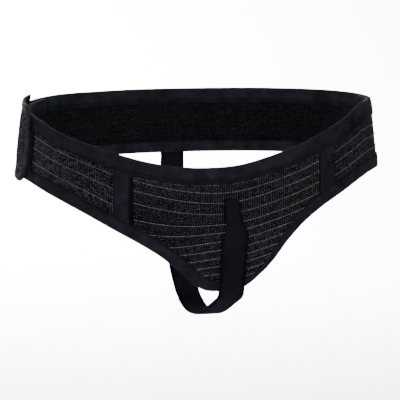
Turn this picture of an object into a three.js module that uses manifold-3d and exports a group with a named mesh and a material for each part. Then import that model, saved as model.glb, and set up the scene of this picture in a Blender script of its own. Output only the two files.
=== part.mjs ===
// A hernia belt in its worn shape: a knitted waist band with a brief-shaped front panel, bound edges,
// seam tapes, a hook-and-loop closure on the wearer's right hip and a crotch strap.
// Millimetres, +Z up, the wearer faces -Y, and the origin is the middle of the hips.
import * as THREE from "three";
import { mergeVertices } from "three/addons/utils/BufferGeometryUtils.js";
import Module from "manifold-3d";

const wasm = await Module();
wasm.setup();

// The hips that the belt is shaped on
const hipHalfWidth = 169.5;
const frontReach = 115;
const backReach = 122;
const hipSquareness = 2.3;
const crotchDepth = 165;

// The cut of the belt
const bandTopHeight = 42;
const bandWidth = 66;
const frontDip = 54;
const panelDrop = 103;
const rightSeamAngle = -43.1;
const leftSeamAngle = 43.9;
const innerEndAngle = -116;
const bandEndAngle = 252;

// Cloth thicknesses and the clearance between two cloths
const knitThickness = 1.8;
const bindingThickness = 0.9;
const tapeThickness = 0.7;
const strapThickness = 2.4;
const clearance = 0.3;
const patchClearance = 0.9;

// Bindings, tapes and stripes
const topBindingWidth = 14;
const bottomBindingWidth = 10.5;
const tapeWidth = 16.5;
const stripeWidth = 1.4;
const stripeRaise = 0.3;

// The closure tab
const tabLength = 81;
const tabEndDepth = 24;
const tabEndRoundness = 2.5;
const tabOverhangTop = 7;
const tabOverhangBottom = 3;
const tabRimWidth = 5;
const hookLead = 3;

// The crotch strap
const strapWidth = 24.5;
const strapTipWidth = 15.5;
const strapTipLength = 15;
const strapTipRound = 6;
const strapShoulder = 13;
const strapTipAside = 2.2;
const strapLowAside = 5.8;
const strapTopGap = 28;
const strapBackOverlap = 34;

// The form's sections: height is a share of crotchDepth, the rest of hipHalfWidth, frontReach and backReach.
const formSections = [
  { height: -0.96, halfWidth: 0.75, front: 0.7, back: 0.74 },
  { height: -0.79, halfWidth: 0.86, front: 0.84, back: 0.885 },
  { height: -0.57, halfWidth: 0.975, front: 0.94, back: 0.965 },
  { height: -0.36, halfWidth: 1.015, front: 0.99, back: 1 },
  { height: -0.12, halfWidth: 1, front: 1, back: 1 },
  { height: 0.12, halfWidth: 0.975, front: 0.985, back: 0.965 },
  { height: 0.36, halfWidth: 0.945, front: 0.955, back: 0.92 },
];

// How far the bound top edge dips below bandTopHeight, as a share of frontDip.
const topEdge = [
  { angle: -180, dip: 0 },
  { angle: -140, dip: 0.02 },
  { angle: -110, dip: 0.1 },
  { angle: -88, dip: 0.19 },
  { angle: -76, dip: 0.28 },
  { angle: -67, dip: 0.43 },
  { angle: -58, dip: 0.565 },
  { angle: -46, dip: 0.74 },
  { angle: -35, dip: 0.875 },
  { angle: -23, dip: 0.96 },
  { angle: -9, dip: 0.985 },
  { angle: 5, dip: 0.95 },
  { angle: 19, dip: 0.82 },
  { angle: 33, dip: 0.635 },
  { angle: 48, dip: 0.365 },
  { angle: 57, dip: 0.18 },
  { angle: 63, dip: 0.055 },
  { angle: 70, dip: 0.01 },
  { angle: 90, dip: 0 },
  { angle: 180, dip: 0 },
];

// How far the bound bottom edge drops below the back's bottom edge, as a share of panelDrop.
const bottomEdge = [
  { angle: -180, drop: 0 },
  { angle: -120, drop: 0.025 },
  { angle: -88, drop: 0.055 },
  { angle: -78, drop: 0.075 },
  { angle: -67, drop: 0.16 },
  { angle: -57, drop: 0.273 },
  { angle: -46, drop: 0.43 },
  { angle: -36, drop: 0.574 },
  { angle: -29, drop: 0.685 },
  { angle: -23, drop: 0.8 },
  { angle: -17, drop: 0.915 },
  { angle: -12, drop: 0.977 },
  { angle: -7, drop: 1 },
  { angle: 4, drop: 1 },
  { angle: 9, drop: 0.982 },
  { angle: 15, drop: 0.902 },
  { angle: 22, drop: 0.75 },
  { angle: 28, drop: 0.552 },
  { angle: 34, drop: 0.4 },
  { angle: 42, drop: 0.262 },
  { angle: 52, drop: 0.135 },
  { angle: 60, drop: 0.05 },
  { angle: 67, drop: 0.008 },
  { angle: 80, drop: 0 },
  { angle: 180, drop: 0 },
];

// Width of the top binding's outer leg as a share of topBindingWidth: it is narrower over the wearer's
// right side.
const topBindingTurn = [
  { angle: -180, share: 1 },
  { angle: -105, share: 1 },
  { angle: -88, share: 0.85 },
  { angle: -72, share: 0.78 },
  { angle: -58, share: 0.8 },
  { angle: -48, share: 0.9 },
  { angle: -40, share: 1 },
  { angle: 180, share: 1 },
];

// Width of the bottom binding's outer leg as a share of bottomBindingWidth: it is turned under at the
// wearer's left leg.
const bottomBindingTurn = [
  { angle: -180, share: 1 },
  { angle: -8, share: 1 },
  { angle: 6, share: 0.75 },
  { angle: 13, share: 0.45 },
  { angle: 20, share: 0.4 },
  { angle: 27, share: 0.6 },
  { angle: 34, share: 0.8 },
  { angle: 41, share: 1 },
  { angle: 180, share: 1 },
];

// Depths of the stripes below the top edge: on the panel as shares of its height in front, on the bands
// as shares of their own width. fan is how much lower a panel stripe lies at the wearer's right seam.
const panelStripes = [
  { depth: 0.195, fan: -0.19 },
  { depth: 0.275, fan: -0.14 },
  { depth: 0.363, fan: -0.07 },
  { depth: 0.447, fan: 0.05 },
  { depth: 0.513, fan: 0.11 },
  { depth: 0.583, fan: 0.15 },
  { depth: 0.655, fan: 0.13 },
  { depth: 0.722, fan: 0.12 },
  { depth: 0.787, fan: 0.115 },
  { depth: 0.853, fan: 0.08 },
  { depth: 0.91, fan: 0.05 },
];
const rightBandStripes = [0.27, 0.455, 0.672];
const backBandStripes = [0.36, 0.515, 0.705];

// The free stretch of the crotch strap: reach is a share of frontReach (minus) or backReach (plus),
// drop of crotchDepth, and aside of strapLowAside.
const strapRoute = [
  { reach: -0.865, drop: 0.806, aside: 0.95 },
  { reach: -0.7, drop: 0.858, aside: 0.86 },
  { reach: -0.53, drop: 0.908, aside: 0.77 },
  { reach: -0.275, drop: 0.973, aside: 0.69 },
  { reach: -0.05, drop: 1.008, aside: 0.57 },
  { reach: 0.2, drop: 1.018, aside: 0.4 },
  { reach: 0.44, drop: 0.98, aside: 0.28 },
  { reach: 0.66, drop: 0.88, aside: 0.16 },
  { reach: 0.83, drop: 0.72, aside: 0.08 },
  { reach: 0.94, drop: 0.52, aside: 0 },
  { reach: 0.995, drop: 0.35, aside: 0 },
];

// Steps of the meshes: fine ones round the panel and the legs, plain ones round the sides and the back
const columnStep = 5;
const fineColumnStep = 2.5;
const fineReach = 70;
const strapSteps = 46;

const turn = 360;
const radians = THREE.MathUtils.degToRad;
const fold = clearance + bindingThickness;
const bandBottomHeight = bandTopHeight - bandWidth;
const outerFace = knitThickness + stripeRaise + clearance;
const bindingTop = outerFace + bindingThickness;
const closureLift = bindingTop + clearance + bindingThickness + clearance;

// Reads a column of a table at x through a smooth curve.
function readTable(table, key, column, x) {
  const last = table.length - 1;
  const at = Math.min(Math.max(x, table[0][key]), table[last][key]);
  let i = 0;
  while (i < last - 1 && table[i + 1][key] < at) i += 1;
  const slope = (a, b) => (table[b][column] - table[a][column]) / (table[b][key] - table[a][key]);
  const tangent = (k) => (k === 0 || k === last ? 0 : slope(k - 1, k + 1));
  const span = table[i + 1][key] - table[i][key];
  const t = (at - table[i][key]) / span;
  const [y0, y1] = [table[i][column], table[i + 1][column]];
  const [m0, m1] = [tangent(i) * span, tangent(i + 1) * span];
  return (
    y0 * (1 + 2 * t) * (1 - t) ** 2 + m0 * t * (1 - t) ** 2 + y1 * t * t * (3 - 2 * t) + m1 * t * t * (t - 1)
  );
}

const smooth = THREE.MathUtils.smoothstep;
const wrapAngle = (angle) => THREE.MathUtils.euclideanModulo(angle + turn / 2, turn) - turn / 2;

// The cloth's edges lie inside the bound edges by the binding's fold.
const topHeight = (angle) =>
  bandTopHeight - fold - frontDip * readTable(topEdge, "angle", "dip", wrapAngle(angle));
const bottomHeight = (angle) =>
  bandBottomHeight + fold - panelDrop * readTable(bottomEdge, "angle", "drop", wrapAngle(angle));
const topBindingWidthAt = (angle) =>
  topBindingWidth * readTable(topBindingTurn, "angle", "share", wrapAngle(angle));
const formReach = (column, height) => readTable(formSections, "height", column, height / crotchDepth);

// A point of the hips' surface at an angle from the front, positive towards the wearer's left.
function onForm(angle, height) {
  const s = Math.sin(radians(angle));
  const c = Math.cos(radians(angle));
  const halfWidth = hipHalfWidth * formReach("halfWidth", height);
  const reach = c > 0 ? frontReach * formReach("front", height) : backReach * formReach("back", height);
  const sum = (Math.abs(s) / halfWidth) ** hipSquareness + (Math.abs(c) / reach) ** hipSquareness;
  const radius = sum ** (-1 / hipSquareness);
  return new THREE.Vector3(radius * s, -radius * c, height);
}

// The two directions of the surface and its outward normal.
function surfaceFrame(angle, height) {
  const dAngle = 0.1;
  const dHeight = 0.2;
  const along = onForm(angle + dAngle, height).sub(onForm(angle - dAngle, height)).divideScalar(2 * dAngle);
  const up = onForm(angle, height + dHeight).sub(onForm(angle, height - dHeight)).divideScalar(2 * dHeight);
  return { along, up, normal: along.clone().cross(up).normalize() };
}

function place(angle, height, offset) {
  return onForm(angle, height).addScaledVector(surfaceFrame(angle, height).normal, offset);
}

// The band's end climbs over its other end at the closure.
function liftAt(angle) {
  const climbFrom = turn + innerEndAngle - 30;
  const climbTo = turn + innerEndAngle - 6;
  return closureLift * smooth(angle, climbFrom, climbTo);
}

// A point a distance away from a curve on the surface, square to the curve; inward is +1 below it.
function besideCurve(path, t, distance, inward) {
  const dt = 1e-3;
  const here = path(t);
  const ahead = path(t + dt);
  const behind = path(t - dt);
  const { along, up, normal } = surfaceFrame(here.angle, here.height);
  const tangent = along
    .clone()
    .multiplyScalar(ahead.angle - behind.angle)
    .addScaledVector(up, ahead.height - behind.height)
    .normalize();
  const side = tangent.cross(normal).multiplyScalar(distance * inward);
  const [aa, au, uu] = [along.dot(along), along.dot(up), up.dot(up)];
  const [sa, su] = [side.dot(along), side.dot(up)];
  const det = aa * uu - au * au;
  return {
    angle: here.angle + (sa * uu - su * au) / det,
    height: here.height + (su * aa - sa * au) / det,
  };
}

// Height of the line that runs a distance inside an edge, read at an angle.
function insetHeight(edge, angle, distance, sign) {
  const { along } = surfaceFrame(angle, edge(angle));
  const slope = (edge(angle + 0.5) - edge(angle - 0.5)) / along.length();
  return edge(angle) + sign * distance * Math.hypot(1, slope);
}

function steps(from, to, step) {
  const count = Math.max(1, Math.ceil(Math.abs(to - from) / step));
  return Array.from({ length: count + 1 }, (_, i) => from + ((to - from) * i) / count);
}

// The angles of a cloth's columns. All cloths share one grid, so layers bend at the same places.
function columnAngles(from, to) {
  const grid = [
    ...steps(-turn / 2, -fineReach, columnStep),
    ...steps(-fineReach, fineReach, fineColumnStep),
    ...steps(fineReach, turn, columnStep),
  ];
  const inside = grid.filter((angle, i) => angle > from + 0.8 && angle < to - 0.8 && angle !== grid[i - 1]);
  return [from, ...inside, to];
}

// Triangles of a flat outline, wound as the outline is.
function outlineFaces(outline) {
  const area = (points) => THREE.ShapeUtils.area(points);
  const wound = Math.sign(area(outline));
  return THREE.ShapeUtils.triangulateShape(outline, []).map(([a, b, c]) =>
    Math.sign(area([outline[a], outline[b], outline[c]])) === wound ? [a, b, c] : [c, b, a],
  );
}

// A closed solid through sections of equal point counts; cap holds the triangles of an end section.
function loft(sections, cap) {
  const size = sections[0].length;
  const positions = sections.flat().flatMap((p) => [p.x, p.y, p.z]);
  const index = [];
  for (let i = 0; i < sections.length - 1; i += 1) {
    for (let k = 0; k < size; k += 1) {
      const a = i * size + k;
      const b = i * size + ((k + 1) % size);
      index.push(a, b, b + size, a, b + size, a + size);
    }
  }
  const end = (sections.length - 1) * size;
  for (const [a, b, c] of cap) {
    index.push(c, b, a, end + a, end + b, end + c);
  }
  const geometry = new THREE.BufferGeometry();
  geometry.setAttribute("position", new THREE.Float32BufferAttribute(positions, 3));
  geometry.setIndex(index);
  return geometry;
}

// Triangles between two chains of points: first counts up from 0, and second counts down from last.
function chainFaces(firstCount, secondCount) {
  const last = firstCount + secondCount - 1;
  const faces = [];
  let i = 0;
  let j = 0;
  while (i < firstCount - 1 || j < secondCount - 1) {
    if ((i + 1) * (secondCount - 1) <= (j + 1) * (firstCount - 1)) {
      faces.push([i, i + 1, last - j]);
      i += 1;
    } else {
      faces.push([i, last - j - 1, last - j]);
      j += 1;
    }
  }
  return faces;
}

// A cloth wall: each column holds its outer points and its inner points, both from top to bottom.
function clothWall(columns) {
  const sections = columns.map(({ outer, inner }) => [...outer, ...inner.toReversed()]);
  return loft(sections, chainFaces(columns[0].outer.length, columns[0].inner.length));
}

// A strip whose profile is given for each station; a profile point is [distance into the cloth, offset].
function sweepProfile(path, stations, profileAt, inward) {
  const sections = stations.map((t) =>
    profileAt(t).map(([distance, offset]) => {
      const { angle, height } = besideCurve(path, t, distance, inward);
      return place(angle, height, offset + liftAt(angle));
    }),
  );
  const cap = outlineFaces(profileAt(stations[0]).map(([x, y]) => new THREE.Vector2(x, y)));
  return loft(sections, cap);
}

function toSolid(geometry) {
  const merged = mergeVertices(geometry, 1e-4);
  return new wasm.Manifold(
    new wasm.Mesh({
      numProp: 3,
      vertProperties: merged.attributes.position.array,
      triVerts: new Uint32Array(merged.index.array),
    }),
  );
}

function fromSolid(solid) {
  const mesh = solid.getMesh();
  const geometry = new THREE.BufferGeometry();
  geometry.setAttribute("position", new THREE.BufferAttribute(mesh.vertProperties, 3));
  geometry.setIndex(new THREE.BufferAttribute(mesh.triVerts, 1));
  return geometry;
}

// Three rows of a stripe: a low ridge.
function ridgeRows(stripe) {
  return [
    { height: (angle) => stripe(angle) + stripeWidth / 2, raise: 0 },
    { height: stripe, raise: stripeRaise },
    { height: (angle) => stripe(angle) - stripeWidth / 2, raise: 0 },
  ];
}

function knitColumn(angle, rows) {
  const lift = liftAt(angle);
  return {
    outer: rows.outer.map(({ height, raise }) => place(angle, height(angle), knitThickness + raise + lift)),
    inner: rows.inner.map((height) => place(angle, height(angle), lift)),
  };
}

// Half the gap between two cloths that meet at a seam, in degrees.
const seamGapAngle = clearance / 2 / surfaceFrame(leftSeamAngle, 0).along.length();
const panelHeight = topHeight(0) - bottomHeight(0);

function panelStripeHeight(stripe) {
  return (angle) => {
    const sideways = smooth(-angle, 0, -rightSeamAngle);
    return topHeight(angle) - panelHeight * stripe.depth * (1 + stripe.fan * sideways);
  };
}

function frontPanel() {
  const stripes = panelStripes.map(panelStripeHeight);
  const lowest = () => bottomHeight(0) - knitThickness;
  const rows = {
    outer: [{ height: topHeight, raise: 0 }, ...stripes.flatMap(ridgeRows), { height: lowest, raise: 0 }],
    inner: [topHeight, ...stripes, lowest],
  };
  const angles = columnAngles(rightSeamAngle + seamGapAngle, leftSeamAngle - seamGapAngle);
  const cloth = toSolid(clothWall(angles.map((angle) => knitColumn(angle, rows))));
  return fromSolid(cloth.subtract(toSolid(legCutter())));
}

// Everything below the bottom edge, as the scissors take it from the striped cloth.
function legCutter() {
  const reach = bottomBindingWidth * 2;
  const lowest = bottomHeight(0) - reach * 2;
  const angles = columnAngles(rightSeamAngle - columnStep, leftSeamAngle + columnStep);
  const columns = angles.map((angle) => {
    const heights = [bottomHeight(angle), lowest];
    return {
      outer: heights.map((height) => place(angle, height, reach)),
      inner: heights.map((height) => place(angle, height, -reach)),
    };
  });
  return clothWall(columns);
}

// A band's cloth has plain rows at its edges and under the bindings' edges.
function bandCloth(from, to, stripes) {
  const atShare = (share) => (angle) => topHeight(angle) - share * (topHeight(angle) - bottomHeight(angle));
  const underTop = (angle) => insetHeight(topHeight, angle, topBindingWidthAt(angle), -1);
  const underBottom = (angle) => insetHeight(bottomHeight, angle, bottomBindingWidth, 1);
  const plain = (height) => ({ height, raise: 0 });
  const ridges = stripes.flatMap((share) => ridgeRows(atShare(share)));
  const rows = {
    outer: [plain(topHeight), plain(underTop), ...ridges, plain(underBottom), plain(bottomHeight)],
    inner: [topHeight, underTop, atShare(0.5), underBottom, bottomHeight],
  };
  return clothWall(columnAngles(from, to).map((angle) => knitColumn(angle, rows)));
}

// The folded binding's profile round a cloth's edge.
function bindingProfile(width) {
  return [
    [width, outerFace],
    [width, bindingTop],
    [0, bindingTop],
    [-fold, knitThickness],
    [-fold, 0],
    [0, -fold],
    [width, -fold],
    [width, -clearance],
    [-clearance, -clearance],
    [-clearance, outerFace],
  ];
}

function topBinding() {
  const path = (angle) => ({ angle, height: topHeight(angle) });
  const profileAt = (angle) => bindingProfile(topBindingWidthAt(angle)).reverse();
  return sweepProfile(path, columnAngles(innerEndAngle, bandEndAngle), profileAt, 1);
}

function bottomBinding() {
  const path = (angle) => ({ angle, height: bottomHeight(angle) });
  const profileAt = (angle) =>
    bindingProfile(bottomBindingWidth * readTable(bottomBindingTurn, "angle", "share", wrapAngle(angle)));
  return sweepProfile(path, columnAngles(innerEndAngle, bandEndAngle), profileAt, -1);
}

// A flat strip on the cloth's outer face, between the two bindings.
function facePatch(from, to, thickness, rowCount) {
  const columns = columnAngles(from, to).map((angle) => {
    const top = insetHeight(topHeight, angle, topBindingWidthAt(angle) + patchClearance, -1);
    const bottom = insetHeight(bottomHeight, angle, bottomBindingWidth + patchClearance, 1);
    const heights = steps(0, 1, 1 / rowCount).map((share) => top + (bottom - top) * share);
    return {
      outer: heights.map((height) => place(angle, height, outerFace + thickness)),
      inner: heights.map((height) => place(angle, height, outerFace)),
    };
  });
  return clothWall(columns);
}

function seamTape(seamAngle) {
  const halfWidth = (0.5 * tapeWidth) / surfaceFrame(seamAngle, 0).along.length();
  return facePatch(seamAngle - halfWidth, seamAngle + halfWidth, tapeThickness, 7);
}

// The tab's outline: a straight stretch from the band's end and a rounded end. The end's lean runs from
// -90 degrees at the bottom edge through 0 at the tip to 90 at the top edge.
const perAngle = surfaceFrame(bandEndAngle, 0).along.length();
const tabStartAngle = bandEndAngle + (3 * clearance) / perAngle;
const tabShoulderAngle = tabStartAngle + (tabLength - tabEndDepth) / perAngle;
const tabTipAngle = tabStartAngle + tabLength / perAngle;
const tabLeans = [68, 52, 38, 25, 14, 5];
const squareLean = 90;

const tabEdges = (angle) => ({
  top: topHeight(angle) + tabOverhangTop,
  bottom: bottomHeight(angle) - tabOverhangBottom,
});

function tabEndPoint(lean) {
  const forward = Math.cos(radians(lean)) ** (2 / tabEndRoundness);
  const aside = Math.sign(lean) * Math.abs(Math.sin(radians(lean))) ** (2 / tabEndRoundness);
  const angle = tabShoulderAngle + forward * (tabTipAngle - tabShoulderAngle);
  const { top, bottom } = tabEdges(angle);
  return { angle, height: (top + bottom) / 2 + (aside * (top - bottom)) / 2 };
}

function closureTab() {
  const tabColumn = (angle, top, bottom) => {
    const heights = steps(0, 1, 1 / 6).map((share) => top + (bottom - top) * share);
    const lift = liftAt(angle);
    return {
      outer: heights.map((height) => place(angle, height, knitThickness + lift)),
      inner: heights.map((height) => place(angle, height, lift)),
    };
  };
  const straight = columnAngles(tabStartAngle, tabShoulderAngle).map((angle) => {
    const { top, bottom } = tabEdges(angle);
    return tabColumn(angle, top, bottom);
  });
  const rounded = tabLeans.map((lean) => {
    const { angle, height } = tabEndPoint(lean);
    return tabColumn(angle, height, tabEndPoint(-lean).height);
  });
  return clothWall([...straight, ...rounded]);
}

// The tab's bound rim lies on its outer face and turns round its edge.
function tabRim() {
  const path = (t) => {
    const beyond = Math.abs(t) - squareLean;
    if (beyond < 0) return tabEndPoint(t);
    const angle = tabShoulderAngle - beyond;
    const { top, bottom } = tabEdges(angle);
    return { angle, height: t > 0 ? top : bottom };
  };
  const over = knitThickness + clearance;
  const profile = [
    [-clearance, over],
    [-clearance, 0],
    [-fold, 0],
    [-fold, knitThickness],
    [0, over + bindingThickness],
    [tabRimWidth, over + bindingThickness],
    [tabRimWidth, over],
  ];
  const straight = columnAngles(tabStartAngle, tabShoulderAngle).map(
    (angle) => squareLean + tabShoulderAngle - angle,
  );
  const half = [...straight, ...tabLeans];
  return sweepProfile(path, [...half, ...half.map((t) => -t).reverse()], () => profile, -1);
}

// The hook patch fills the space between the tab and the band under it.
function closureHook() {
  const from = tabStartAngle - turn;
  const to = tabTipAngle - turn + hookLead / perAngle;
  return facePatch(from, to, closureLift - clearance - outerFace, 5);
}

// The middle line of the strap: down the panel, under the crotch and up to the back band. It lies close
// on the knit and steps over the bottom binding.
function strapLine() {
  const onKnit = outerFace + strapThickness / 2;
  const onBinding = bindingTop + clearance + strapThickness / 2;
  const seat = (angle, height) => {
    const edge = bottomHeight(angle) + bottomBindingWidth + strapThickness;
    return place(angle, height, onBinding + (onKnit - onBinding) * smooth(height, edge, edge + 8));
  };
  const tipHeight = topHeight(0) - strapTopGap;
  const panelEnd = bottomHeight(0) - fold;
  const backEnd = bandBottomHeight + strapBackOverlap;
  const front = steps(tipHeight, panelEnd, 7).map((height) => {
    const p = seat(0, height);
    const share = smooth((tipHeight - height) / (tipHeight - panelEnd), 0.02, 0.4);
    return new THREE.Vector3(strapTipAside + (strapLowAside - strapTipAside) * share, p.y, p.z);
  });
  const free = strapRoute.map(({ reach, drop, aside }) => {
    const y = reach * (reach < 0 ? frontReach : backReach);
    return new THREE.Vector3(aside * strapLowAside, y, -drop * crotchDepth);
  });
  const back = steps(bandBottomHeight - 12, backEnd, 7).map((height) => seat(turn / 2, height).setX(0));
  return new THREE.CatmullRomCurve3([...front, ...free, ...back], false, "centripetal");
}

// Half the strap's width at a distance from its rounded front tip.
function strapHalfWidth(distance) {
  const tip = Math.min(distance / strapTipRound, 1);
  const rounding = 0.45 + 0.55 * Math.sqrt(1 - (1 - tip) ** 2);
  const widening = smooth(distance, strapTipLength, strapTipLength + strapShoulder);
  return (rounding * (strapTipWidth + (strapWidth - strapTipWidth) * widening)) / 2;
}

function crotchStrap() {
  const line = strapLine();
  const length = line.getLength();
  const tipStations = [0, 0.15, 0.4, 0.7, 1].map((share) => share * strapTipRound);
  const stations = [...tipStations, ...steps(strapTipRound, length, length / strapSteps).slice(1)];
  const halfThickness = strapThickness / 2;
  const bevel = strapThickness / 4;
  const profile = (halfWidth) => [
    [-halfWidth, halfThickness - bevel],
    [-halfWidth, bevel - halfThickness],
    [bevel - halfWidth, -halfThickness],
    [halfWidth - bevel, -halfThickness],
    [halfWidth, bevel - halfThickness],
    [halfWidth, halfThickness - bevel],
    [halfWidth - bevel, halfThickness],
    [bevel - halfWidth, halfThickness],
  ];
  const sections = stations.map((distance) => {
    const share = Math.min(distance / length, 1);
    const at = line.getPointAt(share);
    const along = line.getTangentAt(share);
    const outward = new THREE.Vector3(0, along.z, -along.y).normalize();
    return profile(strapHalfWidth(distance)).map(([aside, out]) =>
      at.clone().addScaledVector(outward, out).add(new THREE.Vector3(aside, 0, 0)),
    );
  });
  const cap = outlineFaces(profile(strapTipWidth).map(([x, y]) => new THREE.Vector2(x, y)));
  return loft(sections, cap);
}

const knit = new THREE.MeshStandardMaterial({ color: 0x24252b, roughness: 0.85, metalness: 0 });
const binding = new THREE.MeshStandardMaterial({ color: 0x17181d, roughness: 0.75, metalness: 0 });
const tape = new THREE.MeshStandardMaterial({ color: 0x18171d, roughness: 0.8, metalness: 0 });
const tabLoop = new THREE.MeshStandardMaterial({ color: 0x2b2c33, roughness: 0.9, metalness: 0 });
const hook = new THREE.MeshStandardMaterial({ color: 0x1a1a20, roughness: 0.6, metalness: 0 });
const plush = new THREE.MeshStandardMaterial({ color: 0x131318, roughness: 0.95, metalness: 0 });

const belt = new THREE.Group();

function addPiece(name, geometry, material) {
  geometry.computeVertexNormals();
  const mesh = new THREE.Mesh(geometry, material);
  mesh.name = name;
  belt.add(mesh);
}

addPiece("front_panel", frontPanel(), knit);
addPiece("right_side_band", bandCloth(innerEndAngle, rightSeamAngle - seamGapAngle, rightBandStripes), knit);
addPiece("back_band", bandCloth(leftSeamAngle + seamGapAngle, bandEndAngle, backBandStripes), knit);
addPiece("top_binding", topBinding(), binding);
addPiece("bottom_binding", bottomBinding(), binding);
addPiece("right_seam_tape", seamTape(rightSeamAngle), tape);
addPiece("left_seam_tape", seamTape(leftSeamAngle), tape);
addPiece("closure_tab", closureTab(), tabLoop);
addPiece("closure_rim", tabRim(), binding);
addPiece("closure_hook", closureHook(), hook);
addPiece("crotch_strap", crotchStrap(), plush);

export default belt;
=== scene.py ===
import math

import bpy
import numpy as np
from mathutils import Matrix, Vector


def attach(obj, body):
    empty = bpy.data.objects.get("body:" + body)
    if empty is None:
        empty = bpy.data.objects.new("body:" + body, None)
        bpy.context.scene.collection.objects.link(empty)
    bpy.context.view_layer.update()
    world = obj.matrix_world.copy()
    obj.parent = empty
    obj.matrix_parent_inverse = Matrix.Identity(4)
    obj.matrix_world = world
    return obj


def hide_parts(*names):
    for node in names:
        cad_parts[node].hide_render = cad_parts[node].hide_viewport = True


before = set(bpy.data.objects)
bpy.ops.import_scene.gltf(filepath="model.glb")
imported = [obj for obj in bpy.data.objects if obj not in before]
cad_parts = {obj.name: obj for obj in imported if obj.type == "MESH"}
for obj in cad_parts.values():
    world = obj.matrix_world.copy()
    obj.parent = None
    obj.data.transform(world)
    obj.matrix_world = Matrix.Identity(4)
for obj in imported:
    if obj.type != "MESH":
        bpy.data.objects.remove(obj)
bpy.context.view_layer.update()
print("frame loaded:", ", ".join(sorted(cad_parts)))

# the round form that the belt keeps and its cut, as its solids have them, in metres and degrees; angle 0 is
# the front, and angles grow towards +X, the belt's left side
form = {"halfWidth": 0.1695, "frontReach": 0.115, "backReach": 0.122, "squareness": 2.3, "depth": 0.165}
# height as a share of depth, then half width, front reach and back reach as shares of theirs
formSections = np.array([
    (-0.96, 0.75, 0.70, 0.74),
    (-0.79, 0.86, 0.84, 0.885),
    (-0.57, 0.975, 0.94, 0.965),
    (-0.36, 1.015, 0.99, 1.0),
    (-0.12, 1.0, 1.0, 1.0),
    (0.12, 0.975, 0.985, 0.965),
    (0.36, 0.945, 0.955, 0.92),
])
cut = {
    "topHeight": 0.042,
    "bandWidth": 0.066,
    "frontDip": 0.054,
    "panelDrop": 0.103,
    "rightSeam": -43.1,
    "leftSeam": 43.9,
    "seamGap": 0.06,
    "innerEnd": -116.0,
    "bandEnd": 252.0,
    "liftStart": 30.0,  # the back band climbs over the inner end, this far before it
    "liftEnd": 6.0,
    "knitThickness": 0.0018,
    "clearance": 0.0003,
    "bindingThickness": 0.0009,
    "topBinding": 0.014,
    "bottomBinding": 0.0105,
}
# angle and share of frontDip
topEdge = np.array([
    (-180, 0), (-140, 0.02), (-110, 0.1), (-88, 0.19), (-76, 0.28), (-67, 0.43), (-58, 0.565),
    (-46, 0.74), (-35, 0.875), (-23, 0.96), (-9, 0.985), (5, 0.95), (19, 0.82), (33, 0.635),
    (48, 0.365), (57, 0.18), (63, 0.055), (70, 0.01), (90, 0), (180, 0),
])
# angle and share of panelDrop
bottomEdge = np.array([
    (-180, 0), (-120, 0.025), (-88, 0.055), (-78, 0.075), (-67, 0.16), (-57, 0.273), (-46, 0.43),
    (-36, 0.574), (-29, 0.685), (-23, 0.8), (-17, 0.915), (-12, 0.977), (-7, 1), (4, 1),
    (9, 0.982), (15, 0.902), (22, 0.75), (28, 0.552), (34, 0.4), (42, 0.262), (52, 0.135),
    (60, 0.05), (67, 0.008), (80, 0), (180, 0),
])
# angle and share of topBinding: narrower over the right side
topTurn = np.array([
    (-180, 1), (-105, 1), (-88, 0.85), (-72, 0.78), (-58, 0.8), (-48, 0.9), (-40, 1), (180, 1),
])
# angle and share of bottomBinding: turned under at the left opening
bottomTurn = np.array([
    (-180, 1), (-8, 1), (6, 0.75), (13, 0.45), (20, 0.4), (27, 0.6), (34, 0.8), (41, 1), (180, 1),
])
fold = cut["clearance"] + cut["bindingThickness"]
bandCloth = cut["bandWidth"] - 2 * fold
outerFace = cut["knitThickness"] + 2 * cut["clearance"]
bindingTop = outerFace + cut["bindingThickness"]
closureLift = bindingTop + fold + cut["clearance"]

# points along each kind of line
samples = {
    "form": 800,
    "panel": 240,
    "band": 500,
    "edge": 900,
    "tape": 60,
    "pull": 12,
    "rim": 80,
    "tab": 120,
    "strap": 24,
}
# steps for slopes on the form, in degrees and metres
probe = {"angle": 0.1, "height": 0.0002, "path": 0.001}


# a smooth curve through a table's rows
def readTable(table, x, column=1):
    keys, values = table[:, 0], table[:, column]
    x = np.clip(x, keys[0], keys[-1])
    i = np.clip(np.searchsorted(keys, x) - 1, 0, len(keys) - 2)
    slopes = np.zeros(len(keys))
    slopes[1:-1] = (values[2:] - values[:-2]) / (keys[2:] - keys[:-2])
    span = keys[i + 1] - keys[i]
    t = (x - keys[i]) / span
    return (
        values[i] * (1 + 2 * t) * (1 - t) ** 2
        + slopes[i] * span * t * (1 - t) ** 2
        + values[i + 1] * t * t * (3 - 2 * t)
        + slopes[i + 1] * span * t * t * (t - 1)
    )


def smooth(x, low, high):
    t = np.clip((x - low) / (high - low), 0, 1)
    return t * t * (3 - 2 * t)


def wrapAngle(angle):
    return np.mod(angle + 180, 360) - 180


# the knits' own edges, inside the fold of the bindings
def topHeight(angle):
    return cut["topHeight"] - fold - cut["frontDip"] * readTable(topEdge, wrapAngle(angle))


def bottomHeight(angle):
    base = cut["topHeight"] - cut["bandWidth"] + fold
    return base - cut["panelDrop"] * readTable(bottomEdge, wrapAngle(angle))


def topWidth(angle):
    return cut["topBinding"] * readTable(topTurn, wrapAngle(angle))


def bottomWidth(angle):
    return cut["bottomBinding"] * readTable(bottomTurn, wrapAngle(angle))


def onForm(angle, height):
    angle, height = np.broadcast_arrays(np.asarray(angle, float), np.asarray(height, float))
    share = height / form["depth"]
    s, c = np.sin(np.radians(angle)), np.cos(np.radians(angle))
    halfWidth = form["halfWidth"] * readTable(formSections, share, 1)
    front = form["frontReach"] * readTable(formSections, share, 2)
    back = form["backReach"] * readTable(formSections, share, 3)
    n = form["squareness"]
    radius = ((np.abs(s) / halfWidth) ** n + (np.abs(c) / np.where(c > 0, front, back)) ** n) ** (-1 / n)
    return np.stack([radius * s, -radius * c, height], -1)


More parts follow.
